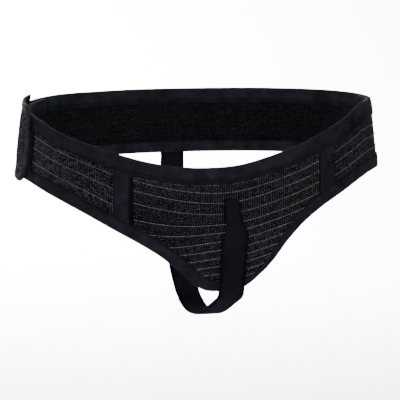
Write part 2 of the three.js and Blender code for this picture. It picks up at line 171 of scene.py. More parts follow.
# metres per degree along the form, metres per metre up it, and its normal
def surfaceFrame(angle, height):
    da, dh = probe["angle"], probe["height"]
    along = (onForm(angle + da, height) - onForm(angle - da, height)) / (2 * da)
    up = (onForm(angle, height + dh) - onForm(angle, height - dh)) / (2 * dh)
    normal = np.cross(along, up)
    normal /= np.linalg.norm(normal, axis=-1, keepdims=True)
    return along, up, normal


def perDegreeAt(angle):
    return float(np.linalg.norm(surfaceFrame(np.array(angle), np.array(0.0))[0]))


def place(angle, height, offset):
    normal = surfaceFrame(angle, height)[2]
    return onForm(angle, height) + normal * np.broadcast_to(offset, normal.shape[:-1])[..., None]


# points on the form at an offset, with the way out of the cloth there
def surfaceLine(angle, height, offset):
    normal = surfaceFrame(angle, height)[2]
    return onForm(angle, height) + normal * np.broadcast_to(offset, angle.shape)[:, None], normal


def liftAt(angle):
    climb = 360 + cut["innerEnd"]
    return closureLift * smooth(angle, climb - cut["liftStart"], climb - cut["liftEnd"])


def runAlong(points):
    return np.concatenate([[0], np.cumsum(np.linalg.norm(np.diff(points, axis=0), axis=1))])


# angles spaced evenly along the cloth, with their distances
def evenAngles(start, end, step, height=-0.02):
    fine = np.linspace(start, end, samples["form"])
    run = runAlong(onForm(fine, height))
    count = max(2, round(run[-1] / step) + 1)
    distance = np.linspace(0, run[-1], count)
    return np.interp(distance, run, fine), distance


# (angle, height) a distance away from a path, square to it on the surface
def besideCurve(path, t, distance, inward):
    angle, height = path(t)
    a1, h1 = path(t + probe["path"])
    a0, h0 = path(t - probe["path"])
    along, up, normal = surfaceFrame(angle, height)
    tangent = along * (a1 - a0)[..., None] + up * (h1 - h0)[..., None]
    tangent /= np.linalg.norm(tangent, axis=-1, keepdims=True)
    side = np.cross(tangent, normal) * (distance * inward)[..., None]
    aa, au, uu = (along * along).sum(-1), (along * up).sum(-1), (up * up).sum(-1)
    sa, su = (side * along).sum(-1), (side * up).sum(-1)
    det = aa * uu - au * au
    return angle + (sa * uu - su * au) / det, height + (su * aa - sa * au) / det


def makeObject(name, points, faces, uv=None, values=None):
    mesh = bpy.data.meshes.new(name)
    mesh.from_pydata([tuple(p) for p in points.tolist()], [], faces)
    mesh.polygons.foreach_set("use_smooth", [True] * len(mesh.polygons))
    if uv is not None:
        layer = mesh.uv_layers.new(name="cloth")
        loops = np.empty(len(mesh.loops), np.int32)
        mesh.loops.foreach_get("vertex_index", loops)
        layer.data.foreach_set("uv", uv[loops].astype(np.float32).ravel())
    for key, data in (values or {}).items():
        mesh.attributes.new(key, "FLOAT", "POINT").data.foreach_set("value", data.astype(np.float32))
    mesh.update()
    obj = bpy.data.objects.new(name, mesh)
    bpy.context.scene.collection.objects.link(obj)
    return obj


# a cloth with an outer and an inner face of the same grid, closed round its border; keep drops cells
def clothObject(name, outer, inner, uv, keep=None):
    columns, rows = outer.shape[:2]
    total = columns * rows
    i, j = np.meshgrid(np.arange(columns - 1), np.arange(rows - 1), indexing="ij")
    first = i * rows + j
    cells = np.stack([first, first + 1, first + rows + 1, first + rows], -1).reshape(-1, 4)
    if keep is not None:
        cells = cells[keep.ravel()]
    edges = np.concatenate([cells[:, [k, (k + 1) % 4]] for k in range(4)])
    forward = edges[:, 0] * total + edges[:, 1]
    backward = edges[:, 1] * total + edges[:, 0]
    start, end = edges[~np.isin(forward, backward)].T
    border = np.stack([end, start, start + total, end + total], -1)
    faces = np.concatenate([cells, cells[:, ::-1] + total, border])
    used, lookup = np.unique(faces, return_inverse=True)
    points = np.concatenate([outer.reshape(-1, 3), inner.reshape(-1, 3)])[used]
    uv = np.concatenate([uv.reshape(-1, 2)] * 2)[used]
    return makeObject(name, points, lookup.reshape(-1, 4).tolist(), uv)


# a closed strip from sections of equal point counts
def loftObject(name, sections, uv, values=None):
    stations, size = sections.shape[:2]
    i, k = np.meshgrid(np.arange(stations - 1), np.arange(size), indexing="ij")
    a, b = i * size + k, i * size + (k + 1) % size
    quads = np.stack([a, b, b + size, a + size], -1).reshape(-1, 4).tolist()
    last = (stations - 1) * size
    caps = [list(range(size))[::-1], [last + m for m in range(size)]]
    return makeObject(name, sections.reshape(-1, 3), quads + caps, uv.reshape(-1, 2), values)


stripEnd = {"turns": (60, 20, -20, -60), "reach": 0.8}


# profile of a bent strip: its middle line thickened to a closed loop with rounded ends
def stripProfile(line, half):
    line = np.asarray(line, float)
    run = np.gradient(line, axis=0)
    run /= np.linalg.norm(run, axis=1, keepdims=True)
    side = np.stack([-run[:, 1], run[:, 0]], 1) * half
    turns = np.radians(stripEnd["turns"])[:, None]
    start = line[0] - run[0] * half * stripEnd["reach"] * np.cos(turns) + side[0] * np.sin(turns)
    end = line[-1] + run[-1] * half * stripEnd["reach"] * np.cos(turns) + side[-1] * np.sin(turns)
    left, right = line + side, line - side
    return np.concatenate([left, end, right[::-1], start[::-1]])


noiseSize = 4096


# smooth noise from -1 to 1, with one random value for each pitch
def valueNoise(x, seed, pitch):
    values = np.random.default_rng(seed).uniform(-1, 1, noiseSize)
    t = np.asarray(x) / pitch + noiseSize / 2
    i = np.floor(t).astype(int) % (noiseSize - 1)
    f = t - np.floor(t)
    f = f * f * (3 - 2 * f)
    return values[i] * (1 - f) + values[i + 1] * f


# the knit's loops and courses, and how much the stretched cloth drifts out of its plane
knit = {
    "wale": 0.0022,
    "course": 0.0013,
    "insideCourse": 0.0021,
    "loopLength": 0.0016,
    "loopWidth": 0.00092,
    "slant": 0.3,
    "disorder": 0.7,
    "drift": 0.00025,
    "innerRelief": 0.3,
    "seed": 27,
}
# stripes and fans are a row's depth and how far it sinks towards the right seam, as shares
panel = {
    "stripes": [0.195, 0.275, 0.363, 0.447, 0.513, 0.583, 0.655, 0.722, 0.787, 0.853, 0.91],
    "fans": [-0.19, -0.14, -0.07, 0.05, 0.11, 0.15, 0.13, 0.12, 0.115, 0.08, 0.05],
    "topFan": -0.1,
    "lastRow": 1.05,  # past the edge, with no fan
    "fanFrom": 0.19,
    "overrun": 0.004,
    "columnHeight": -0.04,  # where the columns' spacing is measured
    "columnStep": 0.0013,
    "rowStep": 0.0012,
    "pucker": 0.00025,
    "seamReach": 0.006,
    "edgeReach": 0.012,
    "seamPitch": 0.0035,
    "edgePitch": 0.005,
    "driftSkew": 0.4,
    "driftPitch": (0.03, 0.025),
    "seed": 11,
}
panelHeight = float(topHeight(0.0) - bottomHeight(0.0))


def panelRow(angle, depth):
    knots = [0] + panel["stripes"] + [panel["lastRow"]]
    fans = np.interp(depth / panelHeight, knots, [panel["topFan"]] + panel["fans"] + [0.0])
    level = panel["fanFrom"] * panelHeight
    fans = fans * np.where(depth < level, depth / level, 1)
    return topHeight(angle) - depth * (1 + fans * smooth(-angle, 0, -cut["rightSeam"]))


panelRun = evenAngles(
    cut["rightSeam"] + cut["seamGap"], cut["leftSeam"] - cut["seamGap"], panel["columnStep"],
    panel["columnHeight"])


def panelRelief(angle, height):
    angles, run = panelRun
    seed = panel["seed"]
    u = np.interp(angle, angles, run)
    depth = topHeight(angle) - height
    seamNear = np.exp(-np.minimum(u, run[-1] - u) / panel["seamReach"])
    edgeNear = np.exp(-(height - bottomHeight(angle)) / panel["edgeReach"])
    relief = panel["pucker"] * seamNear * valueNoise(depth, seed, panel["seamPitch"])
    relief += panel["pucker"] * edgeNear * valueNoise(u + depth, seed + 1, panel["edgePitch"])
    across = valueNoise(u + panel["driftSkew"] * depth, seed + 2, panel["driftPitch"][0])
    relief += knit["drift"] * across * valueNoise(depth, seed + 3, panel["driftPitch"][1])
    return relief


def buildPanel():
    angles, run = panelRun
    depths = np.arange(0, panelHeight + panel["overrun"], panel["rowStep"])
    angle, depth = np.meshgrid(angles, depths, indexing="ij")
    u = np.meshgrid(run, depths, indexing="ij")[0]
    height = panelRow(angle, depth)
    edge = bottomHeight(angle)
    inside = height > edge
    keep = inside[:-1, :-1] | inside[1:, :-1] | inside[:-1, 1:] | inside[1:, 1:]
    height = np.maximum(height, edge)
    relief = panelRelief(angle, height)
    outer = place(angle, height, cut["knitThickness"] + relief)
    inner = place(angle, height, -knit["innerRelief"] * relief)
    return clothObject("panelKnit", outer, inner, np.stack([u, depth], -1), keep)


# stripes are depths as shares of the band's cloth
band = {
    "rightStripes": [0.27, 0.455, 0.672],
    "backStripes": [0.36, 0.515, 0.705],
    "rowStep": 0.0012,
    "rightColumnStep": 0.0012,
    "backColumnStep": 0.0016,
    "pucker": 0.0003,
    "seamReach": 0.008,
    "seamPitch": 0.004,
    "driftSkew": 0.3,
    "driftPitch": (0.028, 0.02),
    "rightSeed": 21,
    "backSeed": 31,
}


def bandRow(angle, share):
    top = topHeight(angle)
    return top - share * (top - bottomHeight(angle))


def bandRelief(angle, share, columns, seed):
    angles, run = columns
    u = np.interp(angle, angles, run)
    depth = share * bandCloth
    seamNear = np.exp(-np.minimum(u, run[-1] - u) / band["seamReach"])
    relief = band["pucker"] * seamNear * valueNoise(depth, seed + 1, band["seamPitch"])
    across = valueNoise(u + band["driftSkew"] * depth, seed + 2, band["driftPitch"][0])
    return relief + knit["drift"] * across * valueNoise(depth, seed + 3, band["driftPitch"][1])


def buildBand(name, columns, seed):
    angles, run = columns
    shares = np.linspace(0, 1, round(bandCloth / band["rowStep"]) + 1)
    angle, share = np.meshgrid(angles, shares, indexing="ij")
    u = np.meshgrid(run, shares, indexing="ij")[0]
    relief = bandRelief(angle, share, columns, seed)
    lift = liftAt(angle)
    height = bandRow(angle, share)
    outer = place(angle, height, cut["knitThickness"] + lift + relief)
    inner = place(angle, height, lift - knit["innerRelief"] * relief)
    return clothObject(name, outer, inner, np.stack([u, share * bandCloth], -1))


rightRun = evenAngles(cut["innerEnd"], cut["rightSeam"] - cut["seamGap"], band["rightColumnStep"], 0.0)
backRun = evenAngles(cut["leftSeam"] + cut["seamGap"], cut["bandEnd"], band["backColumnStep"], 0.0)
panelKnit = buildPanel()
rightKnit = buildBand("rightKnit", rightRun, band["rightSeed"])
backKnit = buildBand("backKnit", backRun, band["backSeed"])
print("knit cloths:", [len(o.data.polygons) for o in (panelKnit, rightKnit, backKnit)])

# folded elastic over the cut edges: outer leg, turn over the edge, shorter inner leg
binding = {
    "step": 0.0016,
    "wave": 0.00012,
    "wavePitch": 0.007,
    "widthWave": 0.00025,
    "widthPitch": 0.006,
    "dome": 0.00018,
    "turnReach": 0.00075,
    "outerSteps": 9,
    "turnSteps": 9,
    "innerSteps": 5,
    "topSeed": 40,
    "bottomSeed": 45,
}


def bindingProfile(width):
    half = cut["bindingThickness"] / 2
    steps = binding["outerSteps"]
    outerLeg = [
        (width * (1 - k / steps), outerFace + half + binding["dome"] * math.sin(math.pi * k / steps))
        for k in range(steps)
    ]
    middle = (outerFace - cut["clearance"]) / 2
    rise = middle + cut["clearance"] + half
    turn = [
        (-binding["turnReach"] * math.sin(a), middle + rise * math.cos(a))
        for a in np.linspace(0.0, math.pi, binding["turnSteps"])
    ]
    steps = binding["innerSteps"]
    innerLeg = [(width * k / steps, -cut["clearance"] - half) for k in range(1, steps + 1)]
    return stripProfile(outerLeg + turn + innerLeg, half)


# a profile of (distance from the path, offset from the form) carried along a path
def sweep(name, path, stations, profiles, inward, offsets):
    size = profiles.shape[1]
    t = np.repeat(stations[:, None], size, 1)
    angle, height = besideCurve(path, t, profiles[..., 0], inward)
    sections = place(angle, height, profiles[..., 1] + offsets[:, None])
    if inward > 0:
        sections = sections[:, ::-1]
        profiles = profiles[:, ::-1]
    run = runAlong(sections.mean(1))
    uv = np.stack([np.repeat(run[:, None], size, 1), profiles[..., 0]], -1)
    return loftObject(name, sections, uv)


def buildBinding(name, edge, widths, inward, seed):
    stations, run = evenAngles(cut["innerEnd"], cut["bandEnd"], binding["step"], 0.0)
    widths = widths(stations) + binding["widthWave"] * valueNoise(run, seed, binding["widthPitch"])
    profiles = np.stack([bindingProfile(w) for w in widths])
    offsets = liftAt(stations) + binding["wave"] * valueNoise(run, seed + 1, binding["wavePitch"])
    return sweep(name, lambda t: (t, edge(t)), stations, profiles, inward, offsets)


topBand = buildBinding("topEdging", topHeight, topWidth, 1, binding["topSeed"])
bottomBand = buildBinding("bottomEdging", bottomHeight, bottomWidth, -1, binding["bottomSeed"])
print("bindings:", [len(o.data.polygons) for o in (topBand, bottomBand)])

# tapes and the hook patch lie between the bindings and reach a little under them
patch = {
    "rows": 90,
    "underBinding": 0.0009,
    "edgeRound": 0.0004,
    "edgeDrop": 0.75,
    "wavePitch": (0.009, 0.007),
}


# height a distance inside an edge, measured square to it
def insetHeight(edge, angle, distance, sign):
    along = surfaceFrame(angle, edge(angle))[0]
    slope = (edge(angle + 0.5) - edge(angle - 0.5)) / np.linalg.norm(along, axis=-1)
    return edge(angle) + sign * distance * np.hypot(1, slope)


def buildPatch(name, start, end, thickness, step, puff, seed):
    angles, run = evenAngles(start, end, step)
    shares = np.linspace(0, 1, patch["rows"])
    angle, share = np.meshgrid(angles, shares, indexing="ij")
    top = insetHeight(topHeight, angle, topWidth(angle) - patch["underBinding"], -1)
    bottom = insetHeight(bottomHeight, angle, cut["bottomBinding"] - patch["underBinding"], 1)
    height = top + (bottom - top) * share
    u = np.meshgrid(run, shares, indexing="ij")[0]
    depth = top - height
    rounding = 1 - np.exp(-np.minimum(u, run[-1] - u) / patch["edgeRound"]) * patch["edgeDrop"]
    wave = puff * valueNoise(depth, seed, patch["wavePitch"][0]) * valueNoise(u, seed + 1, patch["wavePitch"][1])
    outer = place(angle, height, outerFace + thickness * rounding + wave)
    inner = place(angle, height, np.full_like(height, outerFace))
    return clothObject(name, outer, inner, np.stack([u, depth], -1))


tape = {"width": 0.0165, "thickness": 0.0007, "step": 0.0008, "puff": 0.0001, "rightSeed": 60, "leftSeed": 64}


def tapeAngles(seam):
    half = 0.5 * tape["width"] / perDegreeAt(seam)
    return seam - half, seam + half


def buildTape(name, ends, seed):
    return buildPatch(name, *ends, tape["thickness"], tape["step"], tape["puff"], seed)


rightTapeEnds = tapeAngles(cut["rightSeam"])
leftTapeEnds = tapeAngles(cut["leftSeam"])
rightTape = buildTape("rightTape", rightTapeEnds, tape["rightSeed"])
leftTape = buildTape("leftTape", leftTapeEnds, tape["leftSeed"])
print("seam tapes:", [len(o.data.polygons) for o in (rightTape, leftTape)])

# the closure: a loop-faced tab, its folded rim and the hook patch that it grips
tab = {
    "length": 0.081,
    "endDepth": 0.024,
    "roundness": 2.5,
    "overTop": 0.007,
    "underBottom": 0.003,
    "bow": 0.0006,
    "loopHeight": 0.00035,
    "straightColumns": 96,
    "tipColumns": 34,
    "tipReach": 0.992,
    "rows": 106,
    "seed": 70,
}
rim = {
    "width": 0.005,
    "dome": 0.0002,
    "legSteps": 7,
    "turnSteps": 8,
    "turn": 0.8 * math.pi,
    "straightColumns": 60,
    "cornerColumns": 40,
    "tipColumns": 24,
}
hook = {"lead": 0.003, "step": 0.001, "puff": 0.00005, "seed": 80}
perDegree = perDegreeAt(cut["bandEnd"])
tabStart = cut["bandEnd"] + 3 * cut["clearance"] / perDegree
tabShoulder = tabStart + (tab["length"] - tab["endDepth"]) / perDegree
tabTip = tabStart + tab["length"] / perDegree


def tabEdges(angle):
    return topHeight(angle) + tab["overTop"], bottomHeight(angle) - tab["underBottom"]


def buildTab():
    straight = np.linspace(tabStart, tabShoulder, tab["straightColumns"])
    forward = np.sin(np.linspace(0, 1, tab["tipColumns"])[1:] * math.pi / 2) * tab["tipReach"]
    angles = np.concatenate([straight, tabShoulder + forward * (tabTip - tabShoulder)])
    rounding = (1 - forward ** tab["roundness"]) ** (1 / tab["roundness"])
    reach = np.concatenate([np.ones(len(straight)), rounding])
    angle, share = np.meshgrid(angles, np.linspace(-1, 1, tab["rows"]), indexing="ij")
    top, bottom = tabEdges(angle)
    height = (top + bottom) / 2 - share * reach[:, None] * (top - bottom) / 2
    u = (angle - tabStart) * perDegree
    grain = np.random.default_rng(tab["seed"]).uniform(0, 1, angle.shape)
    relief = tab["loopHeight"] * (grain - 0.5)
    lift = liftAt(angle)
    bow = tab["bow"] * np.sin(np.pi * np.clip((height - bottom) / (top - bottom), 0, 1))
    outer = place(angle, height, cut["knitThickness"] + lift + relief + bow)
    inner = place(angle, height, lift + bow)
    return clothObject("tabLoop", outer, inner, np.stack([u, top - height], -1))


# the tab's outline: t within 90 runs round the tip, and beyond it back along the straight edges
def tabPath(t):
    lean = np.radians(np.clip(t, -90, 90))
    power = 2 / tab["roundness"]
    forward = np.abs(np.cos(lean)) ** power * (np.abs(t) < 90)
    angle = tabShoulder + forward * (tabTip - tabShoulder) - np.maximum(np.abs(t) - 90, 0)
    top, bottom = tabEdges(angle)
    return angle, (top + bottom) / 2 + np.sign(t) * np.abs(np.sin(lean)) ** power * (top - bottom) / 2


def bothSides(half):
    return np.concatenate([half, -half[::-1]])


def buildRim():
    stretch = tabShoulder - tabStart
    stations = bothSides(np.concatenate([
        np.linspace(90 + stretch, 90.4, rim["straightColumns"]),
        np.linspace(89, 30, rim["cornerColumns"]),
        np.linspace(29, 0.5, rim["tipColumns"]),
    ]))
    half = cut["bindingThickness"] / 2
    over = cut["knitThickness"] + cut["clearance"] + half
    steps = rim["legSteps"]
    line = [
        (rim["width"] * (1 - k / steps), over + rim["dome"] * math.sin(math.pi * k / steps)) for k in range(steps)
    ]
    line += [
        (-binding["turnReach"] * math.sin(a), over * 0.5 + over * 0.5 * math.cos(a))
        for a in np.linspace(0, rim["turn"], rim["turnSteps"])
    ]
    profiles = np.repeat(stripProfile(line, half)[None], len(stations), 0)
    return sweep("tabRim", tabPath, stations, profiles, -1, liftAt(tabPath(stations)[0]))


tabLoop = buildTab()
tabRim = buildRim()
hookStart, hookEnd = tabStart - 360, tabTip - 360 + hook["lead"] / perDegree
hookPatch = buildPatch(
    "hookPatch", hookStart, hookEnd, closureLift - cut["clearance"] - outerFace,
    hook["step"], hook["puff"], hook["seed"])
print("closure:", [len(o.data.polygons) for o in (tabLoop, tabRim, hookPatch)])

# the strap: its folded tip ends in a step at foldAt, and its -X edge widens later, over heldFrom
strap = {
    "width": 0.0245,
    "thickness": 0.0024,
    "tipWidth": 0.0155,
    "tipLength": 0.016,
    "tipRound": 0.006,
    "tipBlunt": 0.4,
    "shoulder": 0.018,
    "tipAside": 0.0022,
    "lowAside": 0.0058,
    "topGap": 0.028,
    "backOverlap": 0.034,
    "backPoints": 8,
    "backLead": 0.012,
    "frontSpan": 0.007,
    "seatSpan": 0.008,
    "asideFrom": 0.02,
    "asideTo": 0.4,
    "step": 0.001,
    "tipStations": (0, 0.0002, 0.0006, 0.0012, 0.002, 0.003, 0.0042, 0.0052),
    "endStations": (0.001, 0.0004, 0.0),
    "foldAt": 0.0258,
    "foldRise": 0.0004,
    "foldHalf": 0.0006,
    "heldFrom": (0.019, 0.026, 0.039),
    "wave": 0.0002,
    "wavePitch": 0.012,
    "widthWave": 0.00015,
    "widthPitch": 0.004,
    "bulge": 0.00025,
    "flatPoints": 15,
    "edgeTurns": (30, 60, 90, 120, 150),
    "endRound": 0.0012,
    "endThin": 0.55,
    "seed": 90,
}
# the free stretch: reach as a share of the front (minus) or back reach, drop of the form's depth,
# aside of lowAside
strapRoute = [
    (-0.865, 0.806, 0.95), (-0.7, 0.858, 0.86), (-0.53, 0.908, 0.77), (-0.275, 0.973, 0.69),
    (-0.05, 1.008, 0.57), (0.2, 1.018, 0.4), (0.44, 0.98, 0.28), (0.66, 0.88, 0.16), (0.83, 0.72, 0.08),
    (0.94, 0.52, 0), (0.995, 0.35, 0),
]


# a curve through points that doesn't overshoot where they lie unevenly
def smoothLine(points, perSpan):
    points = np.asarray(points, float)
    ends = np.concatenate([[2 * points[0] - points[1]], points, [2 * points[-1] - points[-2]]])
    gaps = np.sqrt(np.linalg.norm(np.diff(ends, axis=0), axis=1))
    out = []
    for k in range(1, len(ends) - 2):
        p0, p1, p2, p3 = ends[k - 1:k + 3]
        d0, d1, d2 = gaps[k - 1:k + 2]
        m1 = (p1 - p0) / d0 - (p2 - p0) / (d0 + d1) + (p2 - p1) / d1
        m2 = (p2 - p1) / d1 - (p3 - p1) / (d1 + d2) + (p3 - p2) / d2
        t = np.linspace(0, 1, perSpan, endpoint=False)[:, None]
        out.append(p1 * (1 + 2 * t) * (1 - t) ** 2 + m1 * d1 * t * (1 - t) ** 2
                   + p2 * t * t * (3 - 2 * t) + m2 * d1 * t * t * (t - 1))
    return np.concatenate(out + [points[-1:]])


# the middle line: down the panel, free in a low arc, and up the back band
def strapLine():
    onKnit = outerFace + strap["thickness"] / 2
    onBinding = bindingTop + cut["clearance"] + strap["thickness"] / 2

    def seat(angle, height):
        edge = bottomHeight(np.array(float(angle))) + cut["bottomBinding"] + strap["thickness"]
        offset = onBinding + (onKnit - onBinding) * smooth(height, edge, edge + strap["seatSpan"])
        return place(np.array(float(angle)), np.array(height), offset)

    tip = float(topHeight(np.array(0.0))) - strap["topGap"]
    panelEnd = float(bottomHeight(np.array(0.0))) - fold
    points = []
    for height in np.linspace(tip, panelEnd, math.ceil((tip - panelEnd) / strap["frontSpan"]) + 1):
        p = seat(0, height)
        share = float(smooth((tip - height) / (tip - panelEnd), strap["asideFrom"], strap["asideTo"]))
        points.append((strap["tipAside"] + (strap["lowAside"] - strap["tipAside"]) * share, p[1], p[2]))
    for reach, drop, aside in strapRoute:
        y = reach * (form["frontReach"] if reach < 0 else form["backReach"])
        points.append((aside * strap["lowAside"], y, -drop * form["depth"]))
    low = cut["topHeight"] - cut["bandWidth"]
    for height in np.linspace(low - strap["backLead"], low + strap["backOverlap"], strap["backPoints"]):
        p = seat(180, height)
        points.append((0, p[1], p[2]))
    line = smoothLine(points, samples["strap"])
    return line, runAlong(line)


def pointsAt(line, run, distance):
    return np.stack([np.interp(distance, run, line[:, k]) for k in range(3)], -1)


def strapHalfWidth(distance):
    tip = np.clip(distance / strap["tipRound"], 0, 1)
    rounding = strap["tipBlunt"] + (1 - strap["tipBlunt"]) * np.sqrt(1 - (1 - tip) ** 2)
    widening = smooth(distance, strap["tipLength"], strap["tipLength"] + strap["shoulder"])
    return rounding * (strap["tipWidth"] + (strap["width"] - strap["tipWidth"]) * widening) / 2


def strapSection(halfWidth, half):
    flat = np.linspace(1, -1, strap["flatPoints"])
    turns = np.radians(strap["edgeTurns"])
    reach = halfWidth - half
    upper = [(x * reach, half + strap["bulge"] * (1 - x * x)) for x in flat]
    lower = [(-x * reach, -half) for x in flat]
    left = [(-reach - half * math.sin(a), half * math.cos(a)) for a in turns]
    right = [(reach + half * math.sin(a), -half * math.cos(a)) for a in turns]
    return np.array(upper + left + lower + right)


def buildStrap():
    line, run = strapLine()
    middle = np.arange(strap["tipRound"], run[-1] - strap["endRound"], strap["step"])
    stations = np.concatenate([strap["tipStations"], middle, run[-1] - np.array(strap["endStations"])])
    at = pointsAt(line, run, stations)
    ahead = pointsAt(line, run, np.minimum(stations + strap["step"], run[-1]))
    along = ahead - pointsAt(line, run, np.maximum(stations - strap["step"], 0))
    outward = np.stack([0 * along[:, 0], along[:, 2], -along[:, 1]], -1)
    outward /= np.linalg.norm(outward, axis=1, keepdims=True)
    ends = np.clip(np.minimum(stations, run[-1] - stations) / strap["endRound"], 0, 1)
    thin = strap["endThin"]
    half = strap["thickness"] / 2 * (thin + (1 - thin) * np.sqrt(1 - (1 - ends) ** 2))
    foldAt, foldHalf = strap["foldAt"], strap["foldHalf"]
    wave = strap["wave"] * valueNoise(stations, strap["seed"], strap["wavePitch"])
    wave += strap["foldRise"] * smooth(stations, foldAt - foldHalf, foldAt + foldHalf)
    widthWave = strap["widthWave"] * valueNoise(stations, strap["seed"] + 1, strap["widthPitch"])
    widths = strapHalfWidth(stations) + widthWave
    shapes = np.stack([strapSection(w, h) for w, h in zip(widths, half)])
    start, full, end = strap["heldFrom"]
    narrow = 1 - strap["tipWidth"] / strap["width"]
    narrow = narrow * smooth(stations, start, full) * (1 - smooth(stations, full, end))
    shapes[..., 0] *= np.where(shapes[..., 0] < 0, 1 - narrow[:, None], 1)
    raised = (shapes[..., 1:] + wave[:, None, None]) * outward[:, None]
    sections = at[:, None] + shapes[..., :1] * np.array([1.0, 0, 0]) + raised
    uv = np.stack([shapes[..., 0], np.repeat(stations[:, None], shapes.shape[1], 1)], -1)
    edgeShare = np.abs(shapes[..., 0]) / widths[:, None]
    return loftObject("strapPlush", sections, uv, {"rim": edgeShare.ravel()})


strapPlush = buildStrap()
print("strap:", len(strapPlush.data.polygons))


def addNode(tree, kind, values=None, **settings):
    node = tree.nodes.new(kind)
    for key, value in settings.items():
        setattr(node, key, value)
    for key, value in (values or {}).items():
        node.inputs[key].default_value = value
    return node


def link(tree, source, target):
    tree.links.new(source, target)


def newGroup(name, inputs, outputs, kind="ShaderNodeTree"):
    group = bpy.data.node_groups.new(name, kind)
    for label, socket, value in inputs:
        made = group.interface.new_socket(name=label, in_out="INPUT", socket_type="NodeSocket" + socket)
        if value is not None:
            made.default_value = value
    for label, socket in outputs:
        group.interface.new_socket(name=label, in_out="OUTPUT", socket_type="NodeSocket" + socket)
    return group, group.nodes.new("NodeGroupInput").outputs, group.nodes.new("NodeGroupOutput").inputs


# a number or a colour goes into the socket, anything else is linked to it
def feed(tree, socket, value):
    if isinstance(value, (int, float)):
        socket.default_value = value
    elif isinstance(value, tuple):
        socket.default_value = (*value, 1.0)
    else:
        link(tree, value, socket)


def mathNode(tree, operation, *values):
    node = addNode(tree, "ShaderNodeMath", operation=operation)
    for socket, value in zip(node.inputs, values):
        feed(tree, socket, value)
    return node.outputs[0]


def mixColor(tree, factor, a, b):
    node = addNode(tree, "ShaderNodeMix", data_type="RGBA")
    for slot, value in ((0, factor), (6, a), (7, b)):
        feed(tree, node.inputs[slot], value)
    return node.outputs[2]


def rangeNode(tree, value, low, high, toLow=0.0, toHigh=1.0):
    ends = {1: low, 2: high, 3: toLow, 4: toHigh}
    node = addNode(tree, "ShaderNodeMapRange", ends, interpolation_type="SMOOTHSTEP")
    link(tree, value, node.inputs[0])
    return node.outputs[0]


def splitNode(tree, kind, value):
    node = addNode(tree, kind)
    link(tree, value, node.inputs[0])
    return node.outputs


grainLook = {
    "disorder": 0.35,
    "pitEdge": (0.18, 0.46),  # distance from a pit's middle, from open to closed
    "pitChance": (0.05, 0.6),
    "faintest": 0.25,
    "strands": {"Scale": 3.2, "Detail": 3.0, "Roughness": 0.65},
    "strandRange": (0.3, 0.72),
}


# open knit: dark pits between yarn loops, staggered from course to course
def knitGrainGroup():
    tree, given, result = newGroup(
        "knitGrain",
        [("Coordinates", "Vector", None), ("Wale", "Float", knit["wale"]), ("Course", "Float", knit["course"]),
         ("Disorder", "Float", grainLook["disorder"])],
        [("Pit", "Float"), ("Yarn", "Float"), ("Height", "Float")],
    )
    xyz = splitNode(tree, "ShaderNodeSeparateXYZ", given["Coordinates"])
    rows = mathNode(tree, "DIVIDE", xyz[1], given["Course"])
    odd = mathNode(tree, "MODULO", mathNode(tree, "FLOOR", rows), 2.0)
    across = mathNode(tree, "MULTIPLY_ADD", odd, 0.5, mathNode(tree, "DIVIDE", xyz[0], given["Wale"]))
    cell = addNode(tree, "ShaderNodeCombineXYZ")
    link(tree, across, cell.inputs[0])
    link(tree, rows, cell.inputs[1])
    spots = addNode(tree, "ShaderNodeTexVoronoi", {"Scale": 1.0}, voronoi_dimensions="2D")
    link(tree, cell.outputs[0], spots.inputs["Vector"])
    link(tree, given["Disorder"], spots.inputs["Randomness"])
    chance = splitNode(tree, "ShaderNodeSeparateColor", spots.outputs["Color"])[0]
    gap = rangeNode(tree, spots.outputs["Distance"], *grainLook["pitEdge"], 1.0, 0.0)
    depth = rangeNode(tree, chance, *grainLook["pitChance"], grainLook["faintest"], 1.0)
    pit = mathNode(tree, "MULTIPLY", gap, depth)
    closed = mathNode(tree, "SUBTRACT", 1.0, pit)
    strands = addNode(tree, "ShaderNodeTexNoise", grainLook["strands"], noise_dimensions="2D")
    link(tree, cell.outputs[0], strands.inputs["Vector"])
    yarn = mathNode(tree, "MULTIPLY", rangeNode(tree, strands.outputs[0], *grainLook["strandRange"]), closed)
    link(tree, pit, result["Pit"])
    link(tree, yarn, result["Yarn"])
    link(tree, mathNode(tree, "MULTIPLY_ADD", yarn, 0.5, closed), result["Height"])
    return tree


wearLook = {
    "patches": {"Detail": 5.0, "Roughness": 0.65},
    "flecks": {"Scale": 420.0, "Randomness": 1.0},
    "fleckEdge": (0.1, 0.3),
    "fleckChance": (0.93, 0.97),
    "lint": (0.16, 0.16, 0.18),
    "roughness": 0.72,
    "roughnessDrift": 0.2,
}


